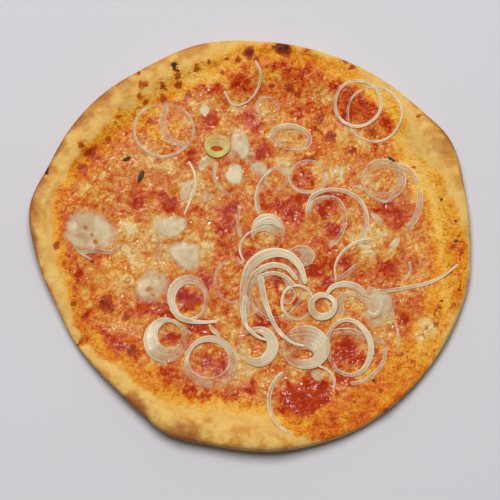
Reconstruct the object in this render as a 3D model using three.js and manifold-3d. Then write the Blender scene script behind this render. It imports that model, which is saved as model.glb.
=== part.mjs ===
// Onion pizza: a baked round of dough with a puffed, uneven rim, a layer of sauce and melted cheese
// with flakes of dried herb, and sliced onion scattered over it as petals, whole rings and curved
// strands. Millimetres, +Z up. The origin is under the middle of the pizza, on the surface it lies on.

import * as THREE from 'three';
import { mergeVertices } from 'three/addons/utils/BufferGeometryUtils.js';
import Module from 'manifold-3d';

const wasm = await Module();
wasm.setup();

// Driving dimensions
const BED = 4.5; // baked dough under the topping
const TOPPING = 2.2; // sauce and cheese at the middle
const TOPPING_EDGE = 0.8; // where they thin out at the rim
const GAP = 0.3; // between pieces that touch
const FOOT = 8; // the underside leaves the table this far in from the edge
const SHOULDER = 11; // the rim's crest stands this far in at most
const RIM_STEPS = 108; // sides of the crust
const TOPPING_STEPS = 38; // squares across the topping
const ONION_STEP = 5.6; // length of one side along an onion slice

// The rim at stations round the pizza: angle from +X in degrees, distance of the outer edge from the
// middle, width of the bare rim, and height of its crest
const RIM = [
  { at: 0, out: 158.4, rim: 29, crest: 11 },
  { at: 14, out: 159.5, rim: 30, crest: 12 },
  { at: 28, out: 163.5, rim: 31, crest: 14 },
  { at: 38, out: 158.5, rim: 18, crest: 12.5 },
  { at: 50, out: 154.8, rim: 10, crest: 11 },
  { at: 68, out: 151.0, rim: 11, crest: 11.5 },
  { at: 86, out: 149.4, rim: 13, crest: 12.5 },
  { at: 104, out: 151.6, rim: 19, crest: 13.5 },
  { at: 120, out: 150.6, rim: 23, crest: 14 },
  { at: 134, out: 153.6, rim: 25, crest: 15 },
  { at: 148, out: 155.5, rim: 23, crest: 15 },
  { at: 158, out: 156.4, rim: 18, crest: 13.5 },
  { at: 170, out: 161.0, rim: 21, crest: 15 },
  { at: 182, out: 154.6, rim: 20, crest: 14 },
  { at: 197, out: 145.9, rim: 14, crest: 12 },
  { at: 208, out: 144.2, rim: 9, crest: 10 },
  { at: 224, out: 142.0, rim: 17, crest: 13.5 },
  { at: 236, out: 144.2, rim: 20, crest: 15 },
  { at: 246, out: 149.2, rim: 27, crest: 16.5 },
  { at: 260, out: 147.6, rim: 31, crest: 17 },
  { at: 278, out: 150.6, rim: 30, crest: 16 },
  { at: 289, out: 151.7, rim: 15, crest: 13 },
  { at: 300, out: 153.6, rim: 8, crest: 10 },
  { at: 320, out: 155.2, rim: 8, crest: 9.5 },
  { at: 338, out: 157.3, rim: 13, crest: 10 },
  { at: 350, out: 159.0, rim: 24, crest: 10.5 },
];

// Folds across the rim, as grooves, and blisters in rim and topping, as domes
const CREASES = [
  { at: 160, from: 122, to: 156, deep: 2.4, wide: 3.5 },
  { at: 210, from: 130, to: 148, deep: 2, wide: 3 },
];
const BLISTERS = [
  { x: 98.3, y: -119.4, wide: 6, high: 2.4 },
  { x: -104.8, y: -42.7, wide: 6, high: 1.6 },
  { x: -86, y: -75.6, wide: 5.5, high: 1.4 },
  { x: -119.2, y: 70.4, wide: 8, high: 1.2 },
  { x: 45, y: 90.5, wide: 6, high: 1 },
  { x: 58.7, y: 79.2, wide: 6, high: 1 },
];

// Herb flakes: middle, length, width and turn in degrees
const HERB_THICK = 1;
const HERBS_ON_TOPPING = [
  { x: -88.9, y: 63.1, long: 6.2, wide: 3.2, turn: 25 },
  { x: -78.8, y: 50, long: 10, wide: 3.4, turn: 68 },
  { x: 101.5, y: 63, long: 6.5, wide: 2, turn: -35 },
  { x: -113.4, y: -12, long: 2.6, wide: 1.6, turn: 10 },
  { x: 88.2, y: -97.5, long: 2.6, wide: 1.6, turn: 50 },
];
const HERBS_ON_RIM = [
  { x: 137.2, y: 33.2, long: 2.4, wide: 1.5, turn: 30 },
  { x: 147.2, y: 17.2, long: 2.6, wide: 1.6, turn: -20 },
  { x: 147.9, y: 2.6, long: 2.8, wide: 1.5, turn: 70 },
  { x: 137.2, y: -40.5, long: 2.4, wide: 1.6, turn: 0 },
];

// Onion petals: middle, half length, half width and turn in degrees, height
const PETALS = [
  { x: -115.6, y: 9.9, long: 19, wide: 17, turn: 20, high: 3.2 },
  { x: -56.5, y: 14.2, long: 9.5, wide: 7.5, turn: 0, high: 2.6 },
  { x: -45.7, y: -6.2, long: 12, wide: 11, turn: 0, high: 2.8 },
  { x: -71, y: -28, long: 14, wide: 12.5, turn: 10, high: 2.6 },
  { x: -32.8, y: 98.2, long: 6, wide: 4, turn: 80, high: 1.8 },
  { x: -6.8, y: 73.4, long: 12.5, wide: 7, turn: 95, high: 2.6 },
  { x: -11.2, y: 52.1, long: 8, wide: 6.5, turn: 80, high: 2.4 },
  { x: 6.7, y: 55.8, long: 8, wide: 6, turn: 100, high: 2.4 },
  { x: -32.8, y: 60.2, long: 9, wide: 4.5, turn: 45, high: 2.2 },
  { x: -46.4, y: 39, long: 9.5, wide: 4.5, turn: 75, high: 2.2 },
  { x: 104, y: 1.8, long: 6.5, wide: 3.2, turn: 55, high: 1.8 },
  { x: 91, y: 20, long: 7.5, wide: 3.2, turn: -35, high: 1.8 },
  { x: 47.9, y: -93.8, long: 6, wide: 5, turn: 0, high: 2 },
  { x: 91.8, y: -44.9, long: 17, wide: 11, turn: 85, high: 2.4 },
];

// Onion rings: middle, half axes of the outer oval and of the hole, shift of the hole, turn, height.
// The highest is a cup, a small thick yellowish heart that is open in the middle.
const CUP_HIGH = 3.6;
const RINGS = [
  { x: -62.3, y: 84.3, outer: [22.3, 20.1], hole: [20.1, 17.9], shift: [0, 0], turn: 0, high: 1.8 },
  { x: 89.3, y: 95.6, outer: [20.5, 20.8], hole: [18.5, 18.8], shift: [0, 0], turn: 0, high: 1.6 },
  { x: 77.4, y: 103.3, outer: [17.8, 17.7], hole: [15.4, 15.3], shift: [0, 0], turn: 0, high: 1.8 },
  { x: 29.2, y: 79.2, outer: [15.7, 9.7], hole: [11.3, 5.3], shift: [0, 0], turn: -10, high: 1.6 },
  { x: -23.8, y: 72.6, outer: [9.5, 8.8], hole: [5.3, 4.5], shift: [0, 0.5], turn: 0, high: CUP_HIGH },
  { x: 41.4, y: 50, outer: [14.3, 12.6], hole: [11.8, 10.1], shift: [0, 0], turn: 0, high: 1.5 },
  { x: 96, y: 47.8, outer: [16.2, 15.7], hole: [9.8, 9.3], shift: [0, 0], turn: 0, high: 1.8 },
  { x: -60.8, y: -69, outer: [15.5, 16], hole: [9.5, 10.2], shift: [2.5, 2], turn: 0, high: 2.2 },
  { x: -28.4, y: -85, outer: [19, 19.7], hole: [14, 14.2], shift: [-1.2, 1], turn: 0, high: 2.2 },
  { x: -43.6, y: -39, outer: [14.9, 17.3], hole: [11.7, 14.1], shift: [0, 0], turn: 0, high: 2 },
  { x: 5.4, y: -73.4, outer: [15, 14], hole: [9.5, 9], shift: [-3, 1], turn: 0, high: 2.4 },
  { x: 40, y: -74, outer: [17.3, 16], hole: [7.5, 3.6], shift: [-2.5, -5], turn: 0, high: 2.4 },
  { x: 33.5, y: -41.2, outer: [12.1, 13.1], hole: [9.9, 10.9], shift: [0, 0], turn: 0, high: 1.6 },
  { x: 27.7, y: -36.9, outer: [4.6, 6.4], hole: [2.8, 4.6], shift: [0, 0], turn: -20, high: 1.6 },
  { x: 71, y: -74, outer: [17.3, 22.3], hole: [13.8, 18.8], shift: [0, 0], turn: 10, high: 2.2 },
  { x: 51.8, y: -44.4, outer: [10.6, 10.3], hole: [6.1, 5.8], shift: [0, 0], turn: 0, high: 3 },
  { x: 12.6, y: 9.9, outer: [12, 13.6], hole: [9.5, 11.1], shift: [0, 0], turn: 0, high: 1.6 },
  { x: 36.4, y: -7.7, outer: [9.4, 8.4], hole: [2.8, 2.2], shift: [-2.2, 0.5], turn: 0, high: 2.2 },
];

// Onion strands: points along the middle line, and width
const STRANDS = [
  { wide: 4.5, path: [[-59.4, 102.6], [-63, 89.4], [-58.7, 77.7], [-47.2, 71.2]] },
  {
    wide: 2.2,
    path: [[3.2, 134.7], [7.6, 125.2], [4.7, 112.8], [-2.5, 104.8], [-11.9, 102.6], [-19, 112.8]],
  },
  { wide: 2.4, path: [[-44.3, 61.7], [-40, 50.7], [-39.2, 42.7], [-42.8, 31.8], [-47.2, 22.3]] },
  { wide: 2.6, path: [[15.5, 55.1], [8.3, 47.1], [4.7, 35.4], [6.1, 23.7]] },
  { wide: 4.6, path: [[104.8, 59.5], [114.8, 53.7], [120.6, 44.2]] },
  { wide: 4.6, path: [[121.3, 41.2], [122, 32.5], [118.4, 20], [112, 10.6]] },
  {
    wide: 3.2,
    path: [[40.7, 24.5], [44.3, 34.7], [53.6, 39.8], [65.9, 39.8], [76.7, 34.7], [83.2, 23.7],
      [83.2, 13.5], [79.6, 4.7]],
  },
  {
    wide: 3.5,
    path: [[41.4, 23], [45, 30.3], [53.6, 34.4], [62.3, 33.2], [67.3, 24.5], [67.3, 15],
      [63, 5.5], [55.8, -0.4]],
  },
  { wide: 2.4, path: [[87.5, 4], [76, 1.8], [66.6, -4.7], [60.8, -15.7], [61.6, -25.2]] },
  { wide: 4, path: [[59.4, -25.9], [68, -21.5], [77.4, -13.5]] },
  { wide: 3.4, path: [[1, -28.1], [8.3, -22.4], [17.6, -20.4], [26.3, -24], [31.3, -30.3]] },
  {
    wide: 4.6,
    path: [[-4.7, -57.3], [-6.1, -41.2], [-3.2, -23], [5.4, -8.4], [18.4, -3.3], [30.6, -6.9],
      [38.5, -17.9], [40.7, -28.1]],
  },
  {
    wide: 4,
    path: [[-2.5, -52.2], [-2.5, -37.6], [4, -19.3], [14.8, -11.3], [26.3, -13.5], [34.2, -23]],
  },
  { wide: 3.2, path: [[8.3, -26.6], [8.3, -39], [12.6, -50.7], [19, -61.7], [27.7, -69]] },
  { wide: 3, path: [[-3.2, -36.1], [-4.7, -47.8], [-2.5, -58.8], [4.7, -66], [11.2, -69]] },
  { wide: 4.5, path: [[2.5, 15], [8.3, 19.3], [16.2, 20], [22, 15]] },
  { wide: 2.6, path: [[-5.4, -8.4], [-8.3, -1.8], [-3.2, 6.9], [4.7, 12.8]] },
  { wide: 4.5, path: [[54.4, -36.1], [58.7, -29.6], [66.6, -27.4], [76, -29.6], [83.2, -36.9]] },
  { wide: 3, path: [[64.4, -33.2], [65.2, -42], [65.9, -50]] },
  { wide: 3, path: [[84.6, -47.8], [88.9, -50.7], [93.2, -47.1], [94, -40.5]] },
  { wide: 2.6, path: [[96.8, -72.6], [95.4, -83.6], [88.2, -93.1], [79.6, -99.6], [71.6, -101.1]] },
  {
    wide: 3.4,
    path: [[24, -91.6], [16.2, -100.4], [13.3, -111.3], [15.5, -123], [21.2, -131.8], [28.4, -136.9]],
  },
  { wide: 2.2, path: [[48.6, -87.2], [55.8, -90.9], [60, -98.2], [59.4, -104]] },
  { wide: 3, path: [[-30.6, -57.3], [-27, -63.1], [-22, -66.8]] },
  { wide: 2.8, path: [[-56.5, -46.4], [-50.8, -52.9], [-42, -55.8], [-32.8, -55.8], [-23.4, -55.1]] },
  {
    wide: 3.2,
    path: [[87.5, -33.9], [100.4, -32.5], [114.8, -30.3], [127.8, -27.4], [138.6, -22.3],
      [148.7, -14.2]],
  },
];
const STRAND_HIGH = 1.7;

// Section of an onion slice, as shares of its width and height: flat below, rounded above
const SECTION = [[-0.42, 0], [0.42, 0], [0.5, 0.55], [0, 1], [-0.5, 0.55]];
const SIDES = SECTION.length;

// Finishes
const CRUST_LOOK = { color: '#d6a15a', roughness: 0.75, metalness: 0 };
const TOPPING_LOOK = { color: '#cf6f35', roughness: 0.35, metalness: 0 };
const ONION_LOOK = { color: '#dccaa0', roughness: 0.3, metalness: 0 };
const CUP_LOOK = { color: '#cdbb6e', roughness: 0.3, metalness: 0 };

const radians = THREE.MathUtils.degToRad;

// A smooth bump, 1 at its middle and falling away with distance
function bell(distance) {
  return Math.exp(-distance * distance);
}

// Degrees from one angle to another, the short way round
function swing(from, to) {
  return THREE.MathUtils.euclideanModulo(to - from + 180, 360) - 180;
}

// One size of the rim at any angle, on a smooth curve through the stations
function rimSize(key, degrees) {
  const count = RIM.length;
  let after = RIM.findIndex((station) => station.at > degrees);
  if (after < 0) {
    after = 0;
  }
  const [a, b, c, d] = [-2, -1, 0, 1].map((step) => RIM[(after + step + count) % count]);
  const span = THREE.MathUtils.euclideanModulo(c.at - b.at, 360);
  const share = THREE.MathUtils.euclideanModulo(degrees - b.at, 360) / span;
  const leave = (c[key] - a[key]) / THREE.MathUtils.euclideanModulo(c.at - a.at, 360);
  const arrive = (d[key] - b[key]) / THREE.MathUtils.euclideanModulo(d.at - b.at, 360);
  const square = share * share;
  const cube = square * share;
  return (2 * cube - 3 * square + 1) * b[key] + (cube - 2 * square + share) * span * leave
    + (3 * square - 2 * cube) * c[key] + (cube - square) * span * arrive;
}

// A repeatable value from 0 to 1 for each point of a square lattice
function lattice(i, j) {
  const value = Math.sin(i * 127.1 + j * 311.7) * 43758.5453;
  return value - Math.floor(value);
}

// Smooth uneven relief from -1 to 1, with lumps of one size
function lumps(x, y, size) {
  const [i, j] = [Math.floor(x / size), Math.floor(y / size)];
  const [u, v] = [x / size - i, y / size - j].map((share) => share * share * (3 - 2 * share));
  const low = THREE.MathUtils.lerp(lattice(i, j), lattice(i + 1, j), u);
  const high = THREE.MathUtils.lerp(lattice(i, j + 1), lattice(i + 1, j + 1), u);
  return 2 * THREE.MathUtils.lerp(low, high, v) - 1;
}

// Blisters at a place
function blisters(x, y) {
  let height = 0;
  for (const blister of BLISTERS) {
    height += blister.high * bell(Math.hypot(x - blister.x, y - blister.y) / blister.wide);
  }
  return height;
}

// Depth of the folds at an angle and a distance from the middle
function creases(degrees, radius) {
  let depth = 0;
  for (const crease of CREASES) {
    const aside = radians(swing(crease.at, degrees)) * radius / crease.wide;
    const along = (2 * radius - crease.from - crease.to) / (crease.to - crease.from);
    depth += crease.deep * bell(aside) * bell(along * along);
  }
  return depth;
}

// Moves each point of a geometry, and keeps for it the cross-section that it belongs to
function reshape(geometry, place) {
  const position = geometry.getAttribute('position');
  const station = new Float32Array(position.count);
  const point = new THREE.Vector3();
  for (let i = 0; i < position.count; i += 1) {
    point.fromBufferAttribute(position, i);
    station[i] = place(point) ?? 0;
    position.setXYZ(i, point.x, point.y, point.z);
  }
  geometry.deleteAttribute('normal');
  geometry.deleteAttribute('uv');
  geometry.setAttribute('station', new THREE.BufferAttribute(station, 1));
  return dropFlat(mergeVertices(geometry, 1e-4));
}

// Leaves out the triangles that a pole or a seam has collapsed
function dropFlat(geometry) {
  const index = geometry.getIndex().array;
  const kept = [];
  for (let i = 0; i < index.length; i += 3) {
    const [a, b, c] = index.slice(i, i + 3);
    if (a !== b && b !== c && c !== a) {
      kept.push(a, b, c);
    }
  }
  geometry.setIndex(kept);
  return geometry;
}

// A closed geometry as a solid that can be joined and cut
function toSolid(geometry) {
  const bare = geometry.clone();
  bare.deleteAttribute('station');
  const merged = dropFlat(mergeVertices(bare, 1e-4));
  return new wasm.Manifold(new wasm.Mesh({
    numProp: 3,
    vertProperties: new Float32Array(merged.getAttribute('position').array),
    triVerts: new Uint32Array(merged.getIndex().array),
  }));
}

function toGeometry(solid) {
  const { vertProperties, triVerts } = solid.getMesh();
  const geometry = new THREE.BufferGeometry();
  geometry.setAttribute('position', new THREE.BufferAttribute(vertProperties, 3));
  geometry.setIndex(new THREE.BufferAttribute(triVerts, 1));
  return geometry;
}

// Herb flakes fused to what they lie on, each a small tilted chip
function withHerbs(base, herbs, heightAt) {
  let solid = toSolid(base);
  for (const herb of herbs) {
    const chip = new THREE.BoxGeometry(herb.long, herb.wide, HERB_THICK);
    chip.rotateY(radians(4));
    chip.rotateZ(radians(herb.turn));
    chip.translate(herb.x, herb.y, heightAt(herb.x, herb.y) + 0.2);
    solid = solid.add(toSolid(chip.deleteAttribute('normal').deleteAttribute('uv')));
  }
  return toGeometry(solid.simplify(0.004));
}

// Profile of the dough at one angle, from the middle of its underside out round the rim and back to
// the middle of its upper face: distance from the middle, height, share of the rim's relief
function doughProfile(degrees) {
  const [out, rim, crest] = ['out', 'rim', 'crest'].map((key) => rimSize(key, degrees));
  const shoulder = Math.min(0.42 * rim, SHOULDER);
  const widest = Math.max(4.2, 0.42 * crest);
  const points = [[0, 0, 0], [out - FOOT, 0, 0], [out - 3, 1.5, 0], [out - 0.6, 3.4, 0], [out, widest, 0]];
  for (const lift of [0.32, 0.66, 1]) {
    const rise = Math.sin(lift * Math.PI / 2);
    const reach = Math.cos(lift * Math.PI / 2);
    points.push([out - shoulder + shoulder * reach, widest + (crest - widest) * rise, lift]);
  }
  for (const share of [0.25, 0.5, 0.75, 1]) {
    const fall = (1 + Math.cos(share * Math.PI)) / 2;
    points.push([out - shoulder - (rim - shoulder) * share, BED + (crest - BED) * fall, fall]);
  }
  points.push([0.6 * (out - rim), BED, 0], [0, BED, 0]);
  return points;
}

// The baked dough: a turned profile whose width, height and relief change from angle to angle
function makeCrust() {
  const last = doughProfile(0).length - 1;
  const profile = [];
  for (let k = 0; k <= last; k += 1) {
    profile.push(new THREE.Vector2(k === 0 || k === last ? 0 : 1, k));
  }
  return reshape(new THREE.LatheGeometry(profile, RIM_STEPS), (point) => {
    const angle = Math.atan2(point.x, point.z);
    const degrees = THREE.MathUtils.euclideanModulo(THREE.MathUtils.radToDeg(angle) + 1e-3, 360);
    const [radius, height, relief] = doughProfile(degrees)[Math.round(point.y)];
    const [x, y] = [radius * Math.cos(angle), radius * Math.sin(angle)];
    const puffs = 0.9 * lumps(x, y, 21) + 0.6 * lumps(x + 50, y, 11) + blisters(x, y);
    point.set(x, y, height + relief * (puffs - creases(degrees, radius)));
  });
}

// Where the topping ends, seen from above
function toppingEdge(angle) {
  const degrees = THREE.MathUtils.euclideanModulo(THREE.MathUtils.radToDeg(angle), 360);
  const toe = rimSize('out', degrees) - rimSize('rim', degrees);
  return toe - 0.9 - 1.3 * (1 + lumps(toe * Math.cos(angle), toe * Math.sin(angle), 9));
}

// Height of the topping's upper face
function toppingTop(x, y) {
  const share = Math.min(1, Math.hypot(x, y) / toppingEdge(Math.atan2(y, x)));
  const inward = 1 - share ** 6;
  const uneven = 0.55 * lumps(x, y, 24) + 0.5 * lumps(x, y + 90, 12) + blisters(x, y);
  return BED + GAP + TOPPING_EDGE + inward * (TOPPING - TOPPING_EDGE + uneven);
}

// Sauce and cheese: a flat block whose square grid is drawn out to the topping's uneven round
function makeTopping() {
  const block = new THREE.BoxGeometry(2, 2, 2, TOPPING_STEPS, TOPPING_STEPS, 1);
  return reshape(block, (point) => {
    const u = point.x * Math.sqrt(1 - point.y * point.y / 2);
    const v = point.y * Math.sqrt(1 - point.x * point.x / 2);
    const edge = toppingEdge(Math.atan2(v, u));
    const [x, y] = [u * edge, v * edge];
    point.set(x, y, point.z > 0 ? toppingTop(x, y) : BED + GAP);
  });
}

// What lies there already, as heights on a square grid seen from above
const CELL = 0.7;
const REACH = 170;
const ACROSS = Math.ceil(2 * REACH / CELL);
const ground = new Float32Array(ACROSS * ACROSS);

// First and last grid line of three points, with one cell to spare
function cellRange(...values) {
  return [Math.min(...values) - CELL, Math.max(...values) + CELL].map((value) => (
    Math.floor((value + REACH) / CELL)));
}

// Calls visit with the number and the place of each grid cell that a triangle covers or borders
function overCells(corners, visit) {
  const [a, b, c] = corners;
  const area = (b.x - a.x) * (c.y - a.y) - (b.y - a.y) * (c.x - a.x);
  if (Math.abs(area) < 1e-3) {
    return;
  }
  const edges = [[a, b], [b, c], [c, a]].map(([from, to]) => {
    const scale = Math.sign(area) / Math.hypot(to.x - from.x, to.y - from.y);
    return { from, alongX: (to.x - from.x) * scale, alongY: (to.y - from.y) * scale };
  });
  const [west, east] = cellRange(a.x, b.x, c.x);
  const [south, north] = cellRange(a.y, b.y, c.y);
  for (let i = west; i <= east; i += 1) {
    for (let j = south; j <= north; j += 1) {
      const [x, y] = [(i + 0.5) * CELL - REACH, (j + 0.5) * CELL - REACH];
      const inside = edges.every(({ from, alongX, alongY }) => (
        alongX * (y - from.y) - alongY * (x - from.x) > -CELL));
      if (inside) {
        visit(i * ACROSS + j, x, y);
      }
    }
  }
}

function cornersOf(geometry, triangle) {
  const position = geometry.getAttribute('position');
  const index = geometry.getIndex();
  return [0, 1, 2].map((corner) => (
    new THREE.Vector3().fromBufferAttribute(position, index.getX(3 * triangle + corner))));
}

// Adds a laid piece to the ground
function raiseGround(geometry) {
  const triangles = geometry.getIndex().count / 3;
  for (let t = 0; t < triangles; t += 1) {
    const corners = cornersOf(geometry, t);
    const [a, b, c] = corners;
    const heights = corners.map((corner) => corner.z);
    const normal = new THREE.Triangle(a, b, c).getNormal(new THREE.Vector3());
    overCells(corners, (cell, x, y) => {
      const plane = a.z - (normal.x * (x - a.x) + normal.y * (y - a.y)) / normal.z;
      const height = THREE.MathUtils.clamp(plane, Math.min(...heights), Math.max(...heights));
      ground[cell] = Math.max(ground[cell], height);
    });
  }
}

// Lays a piece on what is below it: each cross-section comes to rest on the highest point under the
// stretches beside it, so that the piece bends over what it crosses
function lay(geometry) {
  const position = geometry.getAttribute('position');
  const station = geometry.getAttribute('station');
  const index = geometry.getIndex();
  const rest = new Map();
  for (let t = 0; t < index.count / 3; t += 1) {
    let highest = 0;
    overCells(cornersOf(geometry, t), (cell) => {
      highest = Math.max(highest, ground[cell]);
    });
    for (const corner of [0, 1, 2]) {
      const key = station.getX(index.getX(3 * t + corner));
      rest.set(key, Math.max(rest.get(key) ?? 0, highest));
    }
  }
  for (let i = 0; i < position.count; i += 1) {
    position.setZ(i, position.getZ(i) + rest.get(station.getX(i)) + GAP);
  }
  raiseGround(geometry);
  return geometry;
}

// Sets a point from its distances along and across a piece that is turned about its middle
function setTurned(point, { x, y, turn }, along, across, height) {
  const [c, s] = [Math.cos(radians(turn)), Math.sin(radians(turn))];
  point.set(x + along * c - across * s, y + along * s + across * c, height);
}

// A petal: a flat-bottomed dome on an uneven oval
function makePetal(petal) {
  const { x, y, long, wide, high } = petal;
  const around = long > 10 ? 14 : 10;
  const up = long > 10 ? 8 : 6;
  const dome = new THREE.SphereGeometry(1, around, up);
  return reshape(dome, (point) => {
    const ring = Math.round(Math.acos(THREE.MathUtils.clamp(Math.abs(point.y), 0, 1)) / Math.PI * up);
    const side = Math.atan2(point.z, point.x);
    const spoke = THREE.MathUtils.euclideanModulo(Math.round(side / (2 * Math.PI) * around), around);
    const uneven = 1 + 0.09 * Math.sin(2 * side + x) + 0.05 * Math.sin(3 * side + y);
    const reach = Math.min(1, ring / (up / 2)) * uneven;
    const [across, along] = [reach * wide * Math.sin(side), reach * long * Math.cos(side)];
    const lift = point.y > 0.01 ? Math.max(0.35, Math.sqrt(point.y)) : 0;
    const edge = Math.abs(point.y) <= 0.01 ? 0.22 : 0;
    setTurned(point, petal, along, across, (lift + edge) * high);
    return ring === 0 ? 0 : ring * around + spoke + 1;
  });
}

// A whole ring: the section runs between an outer oval and the oval of the hole
function makeRing(ring) {
  const { x, outer, hole, shift, high } = ring;
  const around = 2 * Math.PI * Math.hypot(...outer) / Math.SQRT2;
  const steps = Math.max(12, Math.round(around / ONION_STEP));
  return reshape(new THREE.TorusGeometry(2, 1, SIDES, steps), (point) => {
    const angle = Math.atan2(point.y, point.x);
    const side = Math.atan2(point.z, Math.hypot(point.x, point.y) - 2);
    const corner = THREE.MathUtils.euclideanModulo(Math.round(side / (2 * Math.PI) * SIDES), SIDES);
    const [across, lift] = SECTION[corner];
    const share = 0.5 - across;
    const [c, s] = [Math.cos(angle), Math.sin(angle)];
    const along = THREE.MathUtils.lerp(outer[0] * c, hole[0] * c + shift[0], share);
    const aside = THREE.MathUtils.lerp(outer[1] * s, hole[1] * s + shift[1], share);
    const uneven = 1 + 0.12 * Math.sin(2 * angle + x);
    setTurned(point, ring, along, aside, lift * high * uneven);
    return THREE.MathUtils.euclideanModulo(Math.round(angle / (2 * Math.PI) * steps), steps);
  });
}

// A strand: the section follows a curve and narrows at both ends
function makeStrand({ path, wide }) {
  const curve = new THREE.CatmullRomCurve3(path.map(([x, y]) => new THREE.Vector3(x, y, 0)));
  const steps = Math.max(4, Math.round(curve.getLength() / ONION_STEP));
  return reshape(new THREE.CylinderGeometry(1, 1, steps, SIDES, steps), (point) => {
    const step = Math.round(point.y + steps / 2);
    const middle = curve.getPointAt(step / steps);
    const heading = curve.getTangentAt(step / steps);
    const corner = THREE.MathUtils.euclideanModulo(
      Math.round(Math.atan2(point.x, point.z) / (2 * Math.PI) * SIDES), SIDES);
    const onAxis = Math.hypot(point.x, point.z) < 0.5;
    const [across, lift] = onAxis ? [0, 0.4] : SECTION[corner];
    const narrow = step === 0 || step === steps ? 0.55 : 1;
    const aside = across * wide * narrow;
    point.set(middle.x - heading.y * aside, middle.y + heading.x * aside, lift * STRAND_HIGH * narrow);
    return step;
  });
}

const part = new THREE.Group();

// Names a piece and gives it its finish
function addPiece(name, geometry, look) {
  const mesh = new THREE.Mesh(geometry, new THREE.MeshStandardMaterial(look));
  mesh.name = name;
  part.add(mesh);
}

// Turns the faces outward where the making has left them inward
function facesOut(geometry) {
  let volume = 0;
  for (let t = 0; t < geometry.getIndex().count / 3; t += 1) {
    const [a, b, c] = cornersOf(geometry, t);
    volume += a.dot(b.cross(c));
  }
  if (volume < 0) {
    geometry.getIndex().array.reverse();
  }
  return geometry;
}

// One kind of onion, piece after piece, each on what already lies there
function addOnions(kind, rows, make) {
  rows.forEach((row, i) => {
    const name = `onion_${kind}_${String(i + 1).padStart(2, '0')}`;
    addPiece(name, lay(facesOut(make(row))), row.high === CUP_HIGH ? CUP_LOOK : ONION_LOOK);
  });
}

const crust = facesOut(makeCrust());
const rimRay = new THREE.Raycaster();
const crustMesh = new THREE.Mesh(crust, new THREE.MeshBasicMaterial());

// Height of the crust's upper face, found from straight above
function crustTop(x, y) {
  rimRay.set(new THREE.Vector3(x, y, 100), new THREE.Vector3(0, 0, -1));
  return rimRay.intersectObject(crustMesh)[0].point.z;
}

const dough = withHerbs(crust, HERBS_ON_RIM, crustTop);
raiseGround(dough);
addPiece('crust', dough, CRUST_LOOK);

const cheese = withHerbs(facesOut(makeTopping()), HERBS_ON_TOPPING, toppingTop);
raiseGround(cheese);
addPiece('topping', cheese, TOPPING_LOOK);

addOnions('petal', PETALS, makePetal);
addOnions('ring', RINGS, makeRing);
addOnions('strand', STRANDS, makeStrand);

export default part;
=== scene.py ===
import math
import bpy
import numpy as np
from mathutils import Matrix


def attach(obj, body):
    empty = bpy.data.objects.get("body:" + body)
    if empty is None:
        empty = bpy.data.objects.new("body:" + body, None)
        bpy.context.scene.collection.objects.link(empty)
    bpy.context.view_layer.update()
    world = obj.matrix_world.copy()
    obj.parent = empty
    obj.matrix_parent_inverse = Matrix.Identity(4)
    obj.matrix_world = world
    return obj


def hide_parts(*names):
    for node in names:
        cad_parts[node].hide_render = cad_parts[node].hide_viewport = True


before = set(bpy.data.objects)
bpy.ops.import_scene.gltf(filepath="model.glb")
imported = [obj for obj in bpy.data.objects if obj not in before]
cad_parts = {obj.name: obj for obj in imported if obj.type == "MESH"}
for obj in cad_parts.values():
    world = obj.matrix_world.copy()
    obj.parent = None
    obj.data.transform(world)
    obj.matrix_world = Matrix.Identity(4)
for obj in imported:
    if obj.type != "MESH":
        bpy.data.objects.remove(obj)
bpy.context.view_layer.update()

print("frame loaded,", len(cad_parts), "pieces")

# Sizes below are in millimetres, and each mesh is put down in metres
mm = 0.001
photo = dict(middle=(250.5, 246.5), across=0.72, along=0.73)  # pixel at the origin, mm per pixel


# Repeatable value from 0 to 1 for each point of a square lattice: the fraction of a large sine
def lattice(i, j):
    value = np.sin(i * 127.1 + j * 311.7) * 43758.5453
    return value - np.floor(value)


# Smooth lumps of one size from -1 to 1: lattice values blended with 3t^2 - 2t^3
def lumps(x, y, size):
    i = np.floor(x / size)
    j = np.floor(y / size)
    u = x / size - i
    v = y / size - j
    u = u * u * (3 - 2 * u)
    v = v * v * (3 - 2 * v)
    low = lattice(i, j) * (1 - u) + lattice(i + 1, j) * u
    high = lattice(i, j + 1) * (1 - u) + lattice(i + 1, j + 1) * u
    return 2 * (low * (1 - v) + high * v) - 1


# Lumps on lumps: each layer is turned, half the size and weaker by fade
def crumble(x, y, size, layers=4, fade=0.6, shift=0.0):
    total = np.zeros_like(x)
    weight = 1.0
    sumOfSquares = 0.0
    for layer in range(layers):
        turn = 0.9 * layer + 0.4
        across = x * math.cos(turn) - y * math.sin(turn) + 31.7 * layer + shift
        along = x * math.sin(turn) + y * math.cos(turn) - 17.3 * layer + shift
        total = total + weight * lumps(across, along, size)
        sumOfSquares += weight * weight
        weight *= fade
        size *= 0.5
    return total / math.sqrt(sumOfSquares)


# 0 below low, 1 above high, smooth between; low may be the larger one
def ease(low, high, value):
    share = np.clip((value - low) / (high - low), 0, 1)
    return share * share * (3 - 2 * share)


# A smooth bump, 1 at its middle
def bell(distance):
    return np.exp(-distance * distance)


# Between the first and the second value, by the share of the second
def mix(first, second, share):
    return first + (second - first) * share


# Millimetres of a pixel that was read off the photograph
def fromPhoto(px, py):
    return (px - photo["middle"][0]) * photo["across"], (photo["middle"][1] - py) * photo["along"]


# Highest of many soft round patches: strength times a bell of the distance over the radius
def patches(x, y, rows, uneven=0.25):
    total = np.zeros_like(x)
    wobble = 1 + uneven * lumps(x, y, 5.3) + 0.6 * uneven * lumps(x + 9, y - 4, 2.6)
    for px, py, radius, strength in rows:
        middleX, middleY = fromPhoto(px, py)
        away = np.hypot(x - middleX, y - middleY) / radius * wobble
        total = np.maximum(total, strength * bell(away ** 1.35))
    return total


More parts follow.
